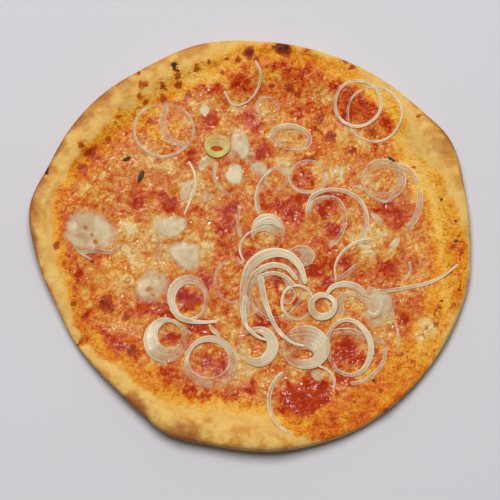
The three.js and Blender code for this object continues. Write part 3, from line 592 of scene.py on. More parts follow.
# Patches read off the photograph: pixel across and down, radius in mm, strength
looks = dict(
    red=[
        (300, 400, 15, 1), (318, 395, 11, 1), (284, 414, 7, 0.9), (290, 428, 6, 0.7), (310, 380, 8, 0.8),
        (358, 106, 14, 1), (368, 98, 9, 0.5), (352, 92, 7, 0.5), (390, 118, 10, 1), (340, 88, 8, 0.7),
        (300, 70, 12, 0.7), (280, 70, 8, 0.6), (290, 210, 11, 1), (326, 204, 10, 1), (300, 202, 8, 0.9),
        (334, 232, 8, 0.9), (262, 154, 6, 0.9), (390, 210, 8, 0.9), (398, 222, 7, 0.9), (306, 184, 8, 0.8),
        (302, 110, 9, 0.6), (256, 128, 6, 0.8), (262, 200, 8, 0.6), (380, 150, 7, 0.6), (240, 86, 9, 0.8),
        (220, 90, 8, 0.6), (246, 120, 8, 0.8), (194, 158, 7, 0.7), (212, 122, 7, 0.8), (170, 206, 7, 1),
        (164, 198, 6, 0.8), (140, 202, 7, 0.6), (110, 174, 8, 0.4), (92, 154, 8, 0.4), (84, 170, 8, 0.5),
        (68, 220, 7, 0.6), (230, 210, 8, 0.6), (222, 234, 7, 0.7), (58, 250, 6, 0.7), (66, 262, 6, 0.8),
        (80, 276, 7, 0.6), (72, 292, 6, 0.7), (88, 317, 6, 0.7), (106, 338, 8, 0.9), (118, 346, 8, 0.8),
        (150, 306, 10, 0.8), (164, 312, 8, 0.9), (190, 302, 9, 0.9), (174, 338, 7, 0.8), (200, 326, 9, 0.8),
        (208, 360, 9, 0.8), (222, 370, 7, 0.9), (167, 376, 8, 0.8), (148, 378, 5, 0.7), (190, 394, 7, 0.6),
        (208, 400, 8, 0.6), (232, 400, 9, 0.7), (250, 388, 7, 0.6), (220, 252, 7, 0.8), (248, 254, 7, 0.9),
        (208, 282, 6, 0.7), (316, 270, 10, 0.8), (324, 284, 7, 0.7), (346, 352, 10, 0.9),
        (336, 364, 8, 0.8), (362, 362, 7, 0.7), (384, 270, 7, 0.9), (344, 266, 7, 0.6), (296, 300, 6, 0.8),
        (270, 318, 8, 0.9), (276, 282, 6, 0.8), (402, 316, 5, 0.9), (428, 349, 3.5, 0.7),
        (217, 150, 5, 1.2), (232, 228, 8, 0.7), (278, 258, 7, 0.6), (350, 380, 8, 0.6), (378, 352, 6, 0.5)],
    cream=[
        (172, 166, 9, 0.8), (148, 160, 9, 0.6), (186, 190, 10, 0.9), (200, 196, 9, 0.7),
        (160, 226, 10, 0.9), (106, 238, 10, 0.7), (130, 230, 9, 0.8), (238, 106, 9, 0.6),
        (240, 134, 9, 0.8), (230, 150, 8, 0.6), (150, 240, 11, 0.9), (136, 238, 9, 0.6),
        (130, 252, 10, 0.8), (140, 264, 9, 0.8), (150, 282, 9, 0.8), (118, 326, 7, 0.8), (134, 328, 8, 0.6),
        (100, 284, 8, 0.3), (120, 286, 8, 0.6), (328, 96, 6, 0.7), (357, 119, 4, 0.6), (346, 112, 3, 0.5),
        (340, 136, 8, 0.8), (362, 142, 8, 0.8), (290, 138, 8, 0.6), (284, 166, 8, 0.8), (336, 174, 10, 0.8),
        (386, 178, 14, 0.5), (362, 184, 9, 0.7), (374, 238, 10, 0.9), (354, 236, 9, 0.7),
        (350, 210, 9, 0.5), (270, 236, 8, 0.7), (212, 222, 7, 0.6), (370, 250, 10, 0.9), (390, 252, 7, 0.6),
        (356, 300, 9, 0.8), (364, 308, 8, 0.8), (384, 320, 8, 0.9), (242, 352, 8, 0.8), (240, 372, 9, 0.8),
        (256, 364, 8, 0.8), (266, 356, 7, 0.8), (212, 352, 6, 0.5), (262, 380, 7, 0.7), (230, 384, 6, 0.6),
        (236, 396, 7, 0.5), (428, 328, 7, 0.9), (420, 336, 6, 0.8), (200, 104, 9, 0.7), (220, 110, 7, 0.6),
        (262, 108, 8, 0.6), (320, 168, 8, 0.7), (206, 250, 8, 0.7), (188, 262, 9, 0.7), (246, 190, 8, 0.6),
        (190, 236, 8, 0.7), (168, 256, 9, 0.8), (300, 150, 7, 0.6), (230, 176, 8, 0.6), (200, 352, 6, 0.5),
        (310, 300, 7, 0.6), (236, 330, 8, 0.6), (222, 344, 7, 0.6), (336, 316, 7, 0.6)],
    yellow=[
        (220, 74, 11, 1), (204, 78, 10, 1), (190, 70, 8, 1), (178, 92, 7, 0.7), (236, 70, 8, 0.9),
        (160, 112, 8, 0.9), (156, 132, 9, 0.9), (144, 124, 9, 1), (292, 84, 6, 0.8), (270, 77, 6, 0.8),
        (148, 112, 8, 1), (176, 126, 7, 0.6), (114, 268, 9, 0.7), (102, 278, 9, 0.4), (152, 282, 9, 0.7),
        (144, 268, 8, 0.6), (130, 230, 8, 0.6), (344, 144, 8, 0.7), (362, 142, 6, 0.7), (372, 388, 9, 0.6),
        (410, 352, 9, 0.9), (400, 340, 7, 0.6), (374, 240, 7, 0.6), (416, 330, 9, 0.7), (250, 420, 8, 0.8),
        (242, 356, 7, 0.6), (262, 430, 8, 0.9), (158, 368, 6, 0.5), (126, 124, 10, 0.5), (100, 300, 9, 0.7),
        (90, 330, 9, 0.9), (84, 296, 7, 0.6), (420, 250, 8, 0.5), (412, 282, 9, 0.5), (80, 185, 9, 0.6),
        (96, 168, 8, 0.5), (70, 202, 7, 0.5), (100, 192, 8, 0.4), (150, 100, 9, 0.6), (350, 300, 7, 0.5),
        (128, 344, 5, 0.4), (282, 116, 7, 0.5), (230, 330, 6, 0.4)],
    brown=[
        (106, 304, 5.6, 1), (113, 309, 3.6, 0.9), (127, 317, 3.4, 0.9), (133, 351, 4.6, 1),
        (75, 305, 3, 0.8), (58, 247, 3.2, 0.8), (95, 244, 2.8, 0.6), (90, 254, 2.6, 0.6),
        (152, 290, 2, 0.5), (86, 318, 3, 0.6), (290, 89, 4, 0.9), (272, 88, 3, 0.7), (298, 96, 2.8, 0.7),
        (320, 118, 4, 0.8), (331, 138, 5, 1), (316, 130, 3, 0.6), (353, 152, 4, 0.8), (312, 160, 3.6, 0.8),
        (372, 132, 4, 0.7), (359, 100, 3, 0.7), (406, 184, 2, 0.6), (388, 178, 2.5, 0.5), (306, 53, 3, 0.6),
        (346, 62, 3.4, 0.7), (353, 69, 3.2, 0.7), (268, 68, 2.5, 0.6), (178, 78, 2.8, 0.7),
        (179, 86, 3.2, 0.9), (164, 87, 2.6, 0.8), (144, 86, 3, 0.8), (139, 75, 1.8, 0.7),
        (208, 64, 2.4, 0.7), (196, 68, 2, 0.6), (249, 55, 4.4, 1.2), (257, 62, 2.8, 0.8), (283, 51, 6, 1.1),
        (238, 61, 3, 0.9), (228, 60, 2.2, 0.7), (204, 88, 3, 0.8), (188, 95, 3.2, 0.7), (163, 99, 3, 0.8),
        (197, 70, 3, 0.7), (222, 73, 2.4, 0.6), (140, 98, 3.4, 0.6), (146, 103, 2.6, 0.7),
        (150, 122, 3.4, 0.7), (108, 140, 2.8, 0.8), (81, 148, 3.2, 0.8), (91, 154, 4.4, 1),
        (100, 160, 2.4, 0.7), (82, 168, 4, 0.8), (386, 412, 4, 0.6), (419, 117, 2, 0.7),
        (460, 252, 2.4, 0.7), (452, 248, 2.2, 0.6), (402, 316, 3.4, 0.6), (167, 374, 4, 0.7),
        (79, 345, 1.5, 0.9), (82, 343, 1.6, 0.9), (85, 341, 1.6, 0.9), (88, 340, 1.4, 0.8),
        (276, 284, 2.5, 0.5), (296, 398, 3, 0.5), (414, 168, 2, 0.6), (175, 71, 3, 0.7)],
    char=[
        (279, 49, 4.2, 0.8), (286, 49, 4, 0.75), (173, 67, 4.4, 0.9), (176, 72, 2.6, 0.7),
        (58, 266, 1.6, 0.6), (61, 292, 1.6, 0.6), (48, 170, 2.8, 0.9), (46, 175, 2.4, 0.8),
        (358, 101, 1.4, 0.5), (103, 303, 3, 0.7), (110, 308, 2.4, 0.6), (456, 243, 1.8, 0.8),
        (452, 225, 1.4, 0.7), (442, 197, 1.2, 0.6), (441, 202, 1.2, 0.7)],
    lace=[
        (126, 124, 8, 1), (114, 134, 7, 1), (134, 116, 6, 0.9), (104, 146, 6, 1), (92, 156, 6, 1),
        (82, 170, 6, 1), (150, 100, 6, 0.8), (160, 98, 5, 0.7), (176, 84, 8, 0.9), (172, 72, 6, 0.7),
        (186, 92, 6, 0.6), (84, 342, 3, 0.8)],
    toast=[
        (138, 403, 11, 0.9), (190, 430, 12, 0.6), (205, 414, 7, 0.3), (452, 137, 9, 0.9),
        (440, 148, 9, 0.7), (110, 100, 10, 0.6), (85, 122, 8, 0.6), (60, 150, 8, 0.5), (150, 76, 10, 0.4),
        (200, 50, 9, 0.4), (346, 62, 8, 0.5), (46, 205, 11, 0.9), (50, 190, 9, 0.6), (458, 184, 7, 0.6),
        (470, 232, 5, 0.8), (36, 240, 5, 0.5), (436, 118, 8, 0.5), (124, 92, 9, 0.5), (49, 172, 5, 0.9)])


# Shares of bare dough, oil, ripeness, veil, flecks, browning, charring and toasting at each point:
# patches and bands round the rim, drawn ragged by crumbled lumps. Toasting falls below 0 along the
# inner edge of the bare dough, a painted highlight on the rim's shaded inner slope
def surfaceLooks(x, y):
    radius = np.hypot(x, y)
    degrees = np.degrees(np.arctan2(y, x))
    inward = aroundRim(rimShape, "out", degrees) - radius
    tan = np.maximum(0.0, aroundRim(rimLooks, "tan", degrees))
    band = np.maximum(tan + 4, aroundRim(rimLooks, "oil", degrees))
    bandRipe = aroundRim(rimLooks, "ripe", degrees)
    fleck = np.clip(aroundRim(rimLooks, "fleck", degrees), 0, 1)
    toast = np.clip(aroundRim(rimLooks, "toast", degrees), 0, 1)
    toe = aroundRim(rimShape, "rim", degrees)
    warpX = x + 2.0 * lumps(x, y, 7) + 0.9 * lumps(x, y + 5, 2.9)
    warpY = y + 2.0 * lumps(x + 31, y, 7) + 0.9 * lumps(x + 13, y, 2.9)
    coarseSize, middlingSize, fineSize = mottle["sizes"]
    coarse = crumble(warpX, warpY, coarseSize, 3, 0.6)
    middling = crumble(warpX, warpY, middlingSize, 3, 0.7, shift=57)
    fine = crumble(warpX, warpY, fineSize, 2, 0.7, shift=11)
    uneven = sum(share * field for share, field in zip(mottle["topping"], (coarse, middling, fine)))
    unevenRim = sum(share * field for share, field in zip(mottle["rim"], (coarse, middling, fine)))
    ragged = inward + 2.2 * coarse + 1.2 * middling
    lace = patches(x, y, looks["lace"], 0.4)
    plain = ease(tan + 3.5, tan - 3.5, ragged) * ease(0.75, 0.25, lace + 0.2 * middling)
    inside = ease(band - 6, band + 3, ragged)  # 1 over the topping, 0 on the rim
    yellow = patches(warpX, warpY, looks["yellow"])
    red = patches(warpX, warpY, looks["red"])
    cream = patches(warpX, warpY, looks["cream"])
    oil = np.clip(np.maximum(ease(band + 9, band - 3, ragged), yellow), 0, 1) * (1 - 0.85 * cream)
    redness = ease(0.1, 0.8, red + 0.15 * middling)
    creaminess = ease(0.1, 0.9, cream + 0.15 * middling)
    middle = (mottle["ripe"] + mottle["red"] * redness + mottle["cream"] * creaminess
              + mottle["yellow"] * yellow + uneven)
    # Smooth yellow stripe low on the rim's inner slope, with fewer flecks: partly oil, partly a painted
    # highlight where that slope catches the light
    striped = bell((inward + coarse - toe + stripe["inside"]) / stripe["wide"])
    smooth = aroundRim(rimLooks, "stripe", degrees) * striped
    rim = bandRipe - stripe["pale"] * smooth + (1 - 0.6 * smooth) * unevenRim + 0.08 * lace - 0.35 * cream
    ripe = mix(rim, middle, inside)
    veil = ease(0.1, 0.9, 0.5 * crumble(x, y, 8.3, 2, 0.6, shift=93) + 0.7 * cream + 0.2) * inside
    tornX = x + 0.9 * lumps(x, y, 2.7) + 0.6 * lumps(x, y, 1.2)
    tornY = y + 0.9 * lumps(x + 21, y, 2.7) + 0.6 * lumps(x + 8, y, 1.2)
    spots = patches(tornX, tornY, looks["brown"], 0.3)
    haloRows = [(px, py, 1.9 * size, share) for px, py, size, share in looks["brown"]]
    halo = patches(warpX, warpY, haloRows)
    plain = plain * (1 - 0.75 * halo)
    oil = np.maximum(oil, 0.8 * halo)
    ripe = ripe + 0.1 * halo
    clots = 0.4 * ease(1.0, 1.7, crumble(warpX, warpY, 5.2, 3, 0.6, shift=149) + 0.5 * coarse) * inside
    strewn = fleck * mix(1.0, 0.5, inside) * ease(0.5, 5, inward) * ease(-1.1, 0.5, coarse)
    strewn = strewn * (1 - plain) * (1 - 0.6 * smooth)
    cloudy = crumble(x, y, 15, 3, 0.6, shift=71) + 0.9 * ease(7, 0, inward)
    # Less toast, and then below 0, along the inner edge of the bare dough: painted light on the shaded inner
    # slope of the rim
    cloudy = cloudy - 1.4 * bell((ragged - tan + 5) / 5)
    toasted = 0.8 * toast * ease(-0.7, 1.3, cloudy) + 0.8 * patches(x, y, looks["toast"])
    toasted = toasted + 0.15 * ease(2.2, 0.4, inward) - 0.8 * bell((ragged - tan + 4) / 5)
    return dict(plain=plain, oil=oil, ripe=ripe, veil=veil, brown=np.maximum(spots, clots),
                fleck=np.maximum(strewn, 0.7 * lace), char=patches(tornX, tornY, looks["char"], 0.3),
                toast=np.clip(toasted, -0.6, 1))


bakedFinish = dict(dry=0.6, wet=0.075, bump=0.9, depth=0.0011, shine=0.25, flesh=0.05,
                   fleshRadius=(0.0024, 0.0011, 0.0005))


# The baked surface with a piece's own fields, on a shader that is dry where the dough is bare
def useBaked(tree, shader, place):
    inputs = {key.capitalize(): fieldNode(tree, key) for key in bakedFields}
    surface = useGroup(tree, bakedGroup, dict(inputs, Vector=place))
    rough = easeNode(surface["Shine"], 0.0, 1.0, bakedFinish["dry"], bakedFinish["wet"])
    setInputs(shader, {"Roughness": rough, "Specular IOR Level": bakedFinish["shine"],
                       "Normal": bumpNode(surface["Height"], bakedFinish["bump"], bakedFinish["depth"]),
                       "Subsurface Weight": bakedFinish["flesh"], "Subsurface Scale": 1.0,
                       "Subsurface Radius": bakedFinish["fleshRadius"]})
    return surface["Color"]


doughLooks = dict(floured=(206, 160, 96), leopard=(150, 86, 38))


# Baked above and at the sides, floured and spotted below
def makeDoughMaterial():
    material, tree, shader, place = newMaterial("bakedDough")
    above = useBaked(tree, shader, place)
    leopard = easeNode(noiseNode(place, 70.0, 4.0, 0.65, 0.5), 0.5, 0.68)
    below = mixColors(leopard, doughLooks["floured"], doughLooks["leopard"])
    setInputs(shader, {"Base Color": mixColors(fieldNode(tree, "under"), above, below)})
    return material


# Columns side by side, each one repeated for every angle round the dough where it has one row only
def sideBySide(*parts):
    return np.hstack([np.broadcast_to(part, (dough["around"], part.shape[1])) for part in parts])


# The baked round: a profile turned through the full circle, whose width and height change from angle
# to angle. It runs from the middle of the underside out round the foot, up the side, over the crest,
# down the inner slope and in to the middle of the bed
def makeDough():
    angle = np.linspace(0, 2 * np.pi, dough["around"], endpoint=False)[:, None]
    out, rim, crest, shoulder, widest = rimAt(np.degrees(angle))
    under = np.linspace(0.1, 1, dough["under"])[None, :]
    foot = np.linspace(0, np.pi / 2, dough["footRings"] + 1)[None, 1:]
    side = np.linspace(0, np.pi / 2, dough["sideRings"] + 1)[None, 1:]
    slope = np.linspace(0, 1, dough["slopeRings"] + 1)[None, 1:]
    bed = np.linspace(1, 0.3, dough["bedRings"] + 1)[None, 1:]
    footBase = out - dough["foot"]
    outward = np.clip(np.cos(side), 0, 1) ** dough["blunt"]
    upward = np.sin(side) ** dough["blunt"]
    footLift = 1 - np.cos(foot)
    fall = (1 + np.cos(np.pi * slope)) / 2
    radius = sideBySide(footBase * under, footBase + dough["foot"] * np.sin(foot),
                        out - shoulder + shoulder * outward, out - shoulder - (rim - shoulder) * slope,
                        (out - rim) * bed)
    height = sideBySide(0 * under, widest * footLift, widest + (crest - widest) * upward,
                        dough["bed"] + (crest - dough["bed"]) * fall, dough["bed"] + 0 * bed)
    weight = sideBySide(0 * under, 0 * foot, upward, fall, 0 * bed)
    x = radius * np.cos(angle)
    y = radius * np.sin(angle)
    puffs = relief(x, y, dough["puffs"]) + blisterDome(x, y) - creaseDepth(np.degrees(angle), radius)
    height = height + weight * puffs
    points = np.stack([x, y, height], -1).reshape(-1, 3)
    points = np.vstack([points, [[0, 0, 0], [0, 0, dough["bed"]]]])
    fields = surfaceLooks(points[:, 0], points[:, 1])
    low = sideBySide(1 + 0 * under, ease(0.9, 0.2, footLift), 0 * side, 0 * slope, 0 * bed)
    fields["under"] = np.append(low, [1, 0])
    skirt = sideBySide(0 * under, ease(0.0, 0.6, footLift), ease(1.0, 0.2, np.sin(side)), 0 * slope, 0 * bed)
    skirt = np.append(skirt, [0, 0])
    fields["plain"] = np.maximum(fields["plain"], ease(0.1, 0.7, skirt))
    spotted = 0.25 * skirt * (0.6 + 0.6 * lumps(points[:, 0], points[:, 1], 9))
    fields["toast"] = np.clip(fields["toast"] + spotted, -0.6, 1)
    piece = makePiece("baked_dough", points, turnedFaces(*radius.shape), fields, makeDoughMaterial())
    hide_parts("crust")
    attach(piece, "root")


makeDough()
print("dough made")


# The baked surface and nothing else
def makeCoverMaterial():
    material, tree, shader, place = newMaterial("sauceAndCheese")
    setInputs(shader, {"Base Color": useBaked(tree, shader, place)})
    return material


# The layer: a square grid drawn out to a round, x = u sqrt(1 - v^2 / 2) and the same for y, times its
# reach at that angle, with a flat face below that closes it
def makeCover():
    steps = np.linspace(-1, 1, cover["squares"])
    u, v = np.meshgrid(steps, steps, indexing="ij")
    roundU = u * np.sqrt(1 - v * v / 2)
    roundV = v * np.sqrt(1 - u * u / 2)
    reach = coverReach(np.arctan2(roundV, roundU))
    x = roundU * reach
    y = roundV * reach
    top = np.stack([x, y, coverTop(x, y)], -1).reshape(-1, 3)
    count = cover["squares"]
    index = np.arange(count * count).reshape(count, count)
    rimLoop = np.concatenate([index[0, :-1], index[:-1, -1], index[-1, :0:-1], index[:0:-1, 0]])
    base = dough["bed"] + cover["floor"]
    below = top[rimLoop] * [1, 1, 0] + [0, 0, base]
    points = np.vstack([top, below, [[0, 0, base]]])
    innerLoop = np.arange(len(rimLoop)) + len(top)
    wall = np.stack([rimLoop, np.roll(rimLoop, -1), np.roll(innerLoop, -1), innerLoop], -1)
    floor = fanFaces(innerLoop, len(points) - 1)
    faceSets = [faces[:, ::-1] for faces in (gridFaces(count, count), wall, floor)]
    fields = surfaceLooks(points[:, 0], points[:, 1])
    piece = makePiece("sauce_and_cheese", points, faceSets, fields, makeCoverMaterial())
    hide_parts("topping")
    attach(piece, "root")


makeCover()
print("sauce and cheese made")

# What lies at each place so far: a grid of heights over the plane, with cells of one size
ground = dict(cell=0.5, reach=170, between=5)
ground["count"] = int(2 * ground["reach"] / ground["cell"])
steps = (np.arange(ground["count"]) + 0.5) * ground["cell"] - ground["reach"]
gridX, gridY = np.meshgrid(steps, steps, indexing="ij")
inside = np.hypot(gridX, gridY) < coverReach(np.arctan2(gridY, gridX))
ground["height"] = doughTop(gridX, gridY)
ground["height"] = np.where(inside, np.maximum(coverTop(gridX, gridY), ground["height"]), ground["height"])


# Number of the cell that a coordinate falls in
def cellOf(values):
    return np.clip(((values + ground["reach"]) / ground["cell"]).astype(int), 0, ground["count"] - 1)


# Height of what lies at a place
def groundAt(x, y):
    return ground["height"][cellOf(x), cellOf(y)]


# Adds a surface to what lies there, from points set close together between its own
def raiseGround(points):
    fine = points
    share = np.arange(ground["between"]) / ground["between"]
    for axis in (0, 1):
        fine = np.moveaxis(fine, axis, 0)
        between = fine[:-1, None] + (fine[1:, None] - fine[:-1, None]) * share.reshape(1, -1, 1, 1)
        fine = np.concatenate([between.reshape((-1,) + fine.shape[1:]), fine[-1:]])
        fine = np.moveaxis(fine, 0, axis)
    flat = fine.reshape(-1, 3)
    np.maximum.at(ground["height"], (cellOf(flat[:, 0]), cellOf(flat[:, 1])), flat[:, 2])


# The line moved by each step from -reach to reach, round a closed one or with held ends
def windows(values, reach, closed):
    if closed:
        return [np.roll(values, k) for k in range(-reach, reach + 1)]
    padded = np.pad(values, reach, mode="edge")
    return [padded[k:k + len(values)] for k in range(2 * reach + 1)]


# Highest value in a window along a line of stations, then its running mean
def settle(values, reach, closed):
    top = np.max(windows(values, reach, closed), 0)
    return np.mean(windows(top, reach, closed), 0)


onionShape = dict(step=0.9, section=22, sink=0.55, clearSink=0.8, settle=3, strandHigh=1.6)


# Section of a slice of onion, as shares of its width and height: flat below, round at the sides, and
# slightly hollow above between its two skins
def onionSection():
    turn = np.linspace(0, 2 * np.pi, onionShape["section"], endpoint=False)
    across = np.sign(np.cos(turn)) * np.abs(np.cos(turn)) ** 0.7 * 0.5
    lift = 0.5 + 0.5 * np.sign(np.sin(turn)) * np.abs(np.sin(turn)) ** 0.7
    hollow = 0.14 * np.cos(np.pi * across) ** 2 * (lift > 0.6)
    return across, lift - hollow


# Clearness at each station of a slice: one value, or one that swings from least to most, which it has
# in a direction in degrees
def clearAlong(clear, line):
    if not isinstance(clear, tuple):
        return np.full(len(line), clear)
    least, most, toward = clear
    away = line - line.mean(0)
    swing = np.cos(np.arctan2(away[:, 1], away[:, 0]) - math.radians(toward))
    return mix(least, most, (0.5 + 0.5 * swing) ** 1.3)


# A slice swept along its middle line: each section stands across the line, is as wide and high as
# there, and rests on what lies under it
def layOnion(name, inner, outer, high, closed, material, slotName, node=None, sink=None, clear=0.5,
             lean=0.0):
    across, lift = onionSection()
    share = across[None, :] + 0.5
    spread = inner[:, None, :] * (1 - share[..., None]) + outer[:, None, :] * share[..., None]
    widths = np.hypot(*(outer - inner).T)
    samples = np.linspace(0, 1, 7)[None, :, None]
    under = inner[:, None, :] * (1 - samples) + outer[:, None, :] * samples
    rest = groundAt(under[..., 0], under[..., 1]).max(1)
    rest = settle(rest, onionShape["settle"], closed)
    clear = clearAlong(clear, (inner + outer) / 2)
    if sink is None:
        sink = onionShape["sink"] + onionShape["clearSink"] * clear[:, None]
    tilt = 0.12 * high[:, None] * lumps(spread[..., 0], spread[..., 1], 7.0)
    z = rest[:, None] - sink + lift[None, :] * high[:, None] + tilt * lift[None, :]
    points = np.concatenate([spread, z[..., None]], -1)
    rows, columns = z.shape
    faceSets = [gridFaces(rows, columns, closeRows=closed, closeColumns=True)]
    if not closed:
        faceSets.append(np.arange(columns)[None, ::-1])
        faceSets.append((np.arange(columns) + (rows - 1) * columns)[None, :])
    fields = dict(across=np.broadcast_to(2 * across[None, :], z.shape),
                  wide=np.broadcast_to(widths[:, None], z.shape),
                  lift=np.broadcast_to(lift[None, :], z.shape),
                  clear=np.broadcast_to(clear[:, None], z.shape), lean=np.full(z.shape, lean))
    piece = makePiece(name, points, faceSets, fields, material)
    if node:
        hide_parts(node)
    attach(piece, "root")
    loop = np.vstack([points, points[:1]]) if closed else points
    upper = np.argsort(across[lift > 0.45])
    raiseGround(loop[:, np.flatnonzero(lift > 0.45)[upper]])


# Ovals of a ring: the outer one and that of its hole, turned about the middle
def ringLines(x, y, outer, hole, shift, turn, high):
    around = 2 * np.pi * math.hypot(*outer) / math.sqrt(2)
    angle = np.linspace(0, 2 * np.pi, int(around / onionShape["step"]), endpoint=False)
    wobble = 1 + 0.012 * np.sin(3 * angle + x) + 0.008 * np.sin(5 * angle + y)
    lines = []
    for half, (offX, offY) in ((hole, shift), (outer, (0, 0))):
        along = half[0] * np.cos(angle) * wobble + offX
        aside = half[1] * np.sin(angle) * wobble + offY
        lines.append(np.stack(turned(x, y, along, aside, turn), -1))
    return lines[0], lines[1], high * (1 + 0.12 * np.sin(2 * angle + x)), True


# Edges of a strand: a smooth curve through the points, moved to either side by half its width, which
# is one value or those at start, middle and end, and narrows in a round at both ends
def strandLines(width, path, high):
    corners = np.array(path, float)
    steps = np.hypot(*np.diff(corners, axis=0).T)
    at = np.concatenate([[0], np.cumsum(steps)])
    slopes = np.gradient(corners, at, axis=0)
    count = max(12, int(at[-1] / onionShape["step"]))
    where = np.linspace(0, at[-1], count)
    part = np.clip(np.searchsorted(at, where, side="right") - 1, 0, len(steps) - 1)
    t = ((where - at[part]) / steps[part])[:, None]
    span = steps[part][:, None]
    line = cubic(t, span, corners[part], corners[part + 1], slopes[part], slopes[part + 1])
    heading = np.gradient(line, axis=0)
    heading /= np.hypot(*heading.T)[:, None]
    aside = np.stack([-heading[:, 1], heading[:, 0]], -1)
    wide = np.interp(where / at[-1], [0, 0.5, 1], width if isinstance(width, tuple) else (width,) * 3)
    toEnd = np.minimum(where, at[-1] - where) / (0.7 * wide)
    narrow = np.sqrt(1 - (1 - np.clip(toEnd, 0.04, 1)) ** 2)
    uneven = 1 + 0.12 * lumps(where + path[0][0], where * 0 + path[0][1], 9)
    half = (wide * narrow * uneven / 2)[:, None]
    return line - aside * half, line + aside * half, high * (0.35 + 0.65 * narrow), False


# Length from which a petal is a large one, rings and sides of a large and of a small one, rings of its
# lower face, margin of ground that it looks at, and how far it spans that, as a share of its length
petalShape = dict(large=10, fine=(26, 72), plain=(16, 48), lower=6, margin=9, span=0.12)


# A petal: rings of a polar grid, the upper ones on a low dome and the lower ones flat beneath it, on
# an uneven oval; it bends with the ground below it
def layPetal(name, x, y, long, wide, turn, high, material, node=None, sink=0.95, clear=0.5):
    rings, sides = petalShape["fine"] if long > petalShape["large"] else petalShape["plain"]
    lower = petalShape["lower"]
    side = np.linspace(0, 2 * np.pi, sides, endpoint=False)[:, None]
    share = np.concatenate([np.linspace(1 / rings, 1, rings), np.linspace(0.92, 0.15, lower)])[None, :]
    top = np.concatenate([np.ones(rings), np.zeros(lower)])[None, :]
    uneven = (1 + 0.1 * np.sin(2 * side + x) + 0.07 * np.sin(3 * side + y)
              + 0.12 * lumps(1.6 * np.cos(side) + x, 1.6 * np.sin(side) + y, 1.0))
    along = share * uneven * long * np.cos(side)
    aside = share * uneven * wide * np.sin(side)
    px, py = turned(x, y, along, aside, turn)
    margin = long + petalShape["margin"]
    lowX, lowY, highX, highY = cellOf(np.array([x - margin, y - margin, x + margin, y + margin]))
    softened = ground["height"][lowX:highX, lowY:highY]
    reach = max(2, int(petalShape["span"] * long / ground["cell"]))
    for combine in (np.max, np.mean):
        for axis in (0, 1):
            softened = combine([np.roll(softened, k, axis) for k in range(-reach, reach + 1)], 0)
    rest = softened[np.clip(cellOf(px) - lowX, 0, softened.shape[0] - 1),
                    np.clip(cellOf(py) - lowY, 0, softened.shape[1] - 1)]
    dome = np.clip(1 - share ** 3.2, 0, 1) ** 0.55
    bulge = 1 + 0.14 * lumps(px, py, 8.0) + 0.06 * lumps(px, py, 3.6)
    z = rest - sink + top * (0.3 + 0.7 * dome * bulge) * (0.6 + 0.25 * high)
    points = np.stack([px, py, z], -1)
    middle = np.array([[x, y, z[:, 0].mean()], [x, y, z[:, -1].mean()]])
    allPoints = np.vstack([points.reshape(-1, 3), middle])
    edge = np.broadcast_to(share * np.ones_like(side), z.shape)
    least, most, toward = clear if isinstance(clear, tuple) else (clear, clear, 0)
    swing = np.append(edge * np.cos(side + math.radians(turn - toward)), [0, 0])
    fields = dict(across=np.append(edge, [0, 0]), wide=np.full(len(allPoints), 2 * wide),
                  lift=np.append(np.broadcast_to(top, z.shape), [1, 0]),
                  clear=mix(least, most, 0.5 + 0.5 * swing),
                  stain=patches(allPoints[:, 0], allPoints[:, 1], stains, 0.5))
    piece = makePiece(name, allPoints, turnedFaces(*z.shape), fields, material)
    if node:
        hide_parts(node)
    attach(piece, "root")
    raiseGround(np.vstack([points, points[:1]])[:, :rings])


# Cooked onion: clear flesh with fine lines along the slice. A slice has paler, denser skins along its
# two sides, the stronger one where it leans to, and a petal thins out towards its edge and is stained
# here and there. Only the upper side hides what is below
sliceLooks = dict(
    flesh=(222, 202, 164), skin=(238, 228, 198), hollow=(216, 150, 102), stain=(206, 128, 52), body=0.95,
    clear=0.95, cloud=0.4, lines=0.4, thin=1.0, edge=1.0, skinBody=0.6, skinWide=(1.0, 0.3), fade=None)
heartLooks = dict(
    sliceLooks, flesh=(208, 186, 98), skin=(222, 204, 128), hollow=(228, 186, 120), body=1.0, clear=0.4,
    cloud=0.2, edge=0.6)
petalLooks = dict(
    sliceLooks, flesh=(228, 211, 172), skin=(240, 229, 200), hollow=(232, 186, 128), body=1.0, clear=0.66,
    cloud=0.6, lines=0.0, thin=0.8, edge=0.0, skinBody=0.0, fade=(1.02, 0.62))
onionFinish = {"Specular IOR Level": 0.2, "Subsurface Weight": 0.15, "Subsurface Scale": 1.0,
               "Subsurface Radius": (0.002, 0.0016, 0.001), "Coat Weight": 0.2, "Coat Roughness": 0.2}


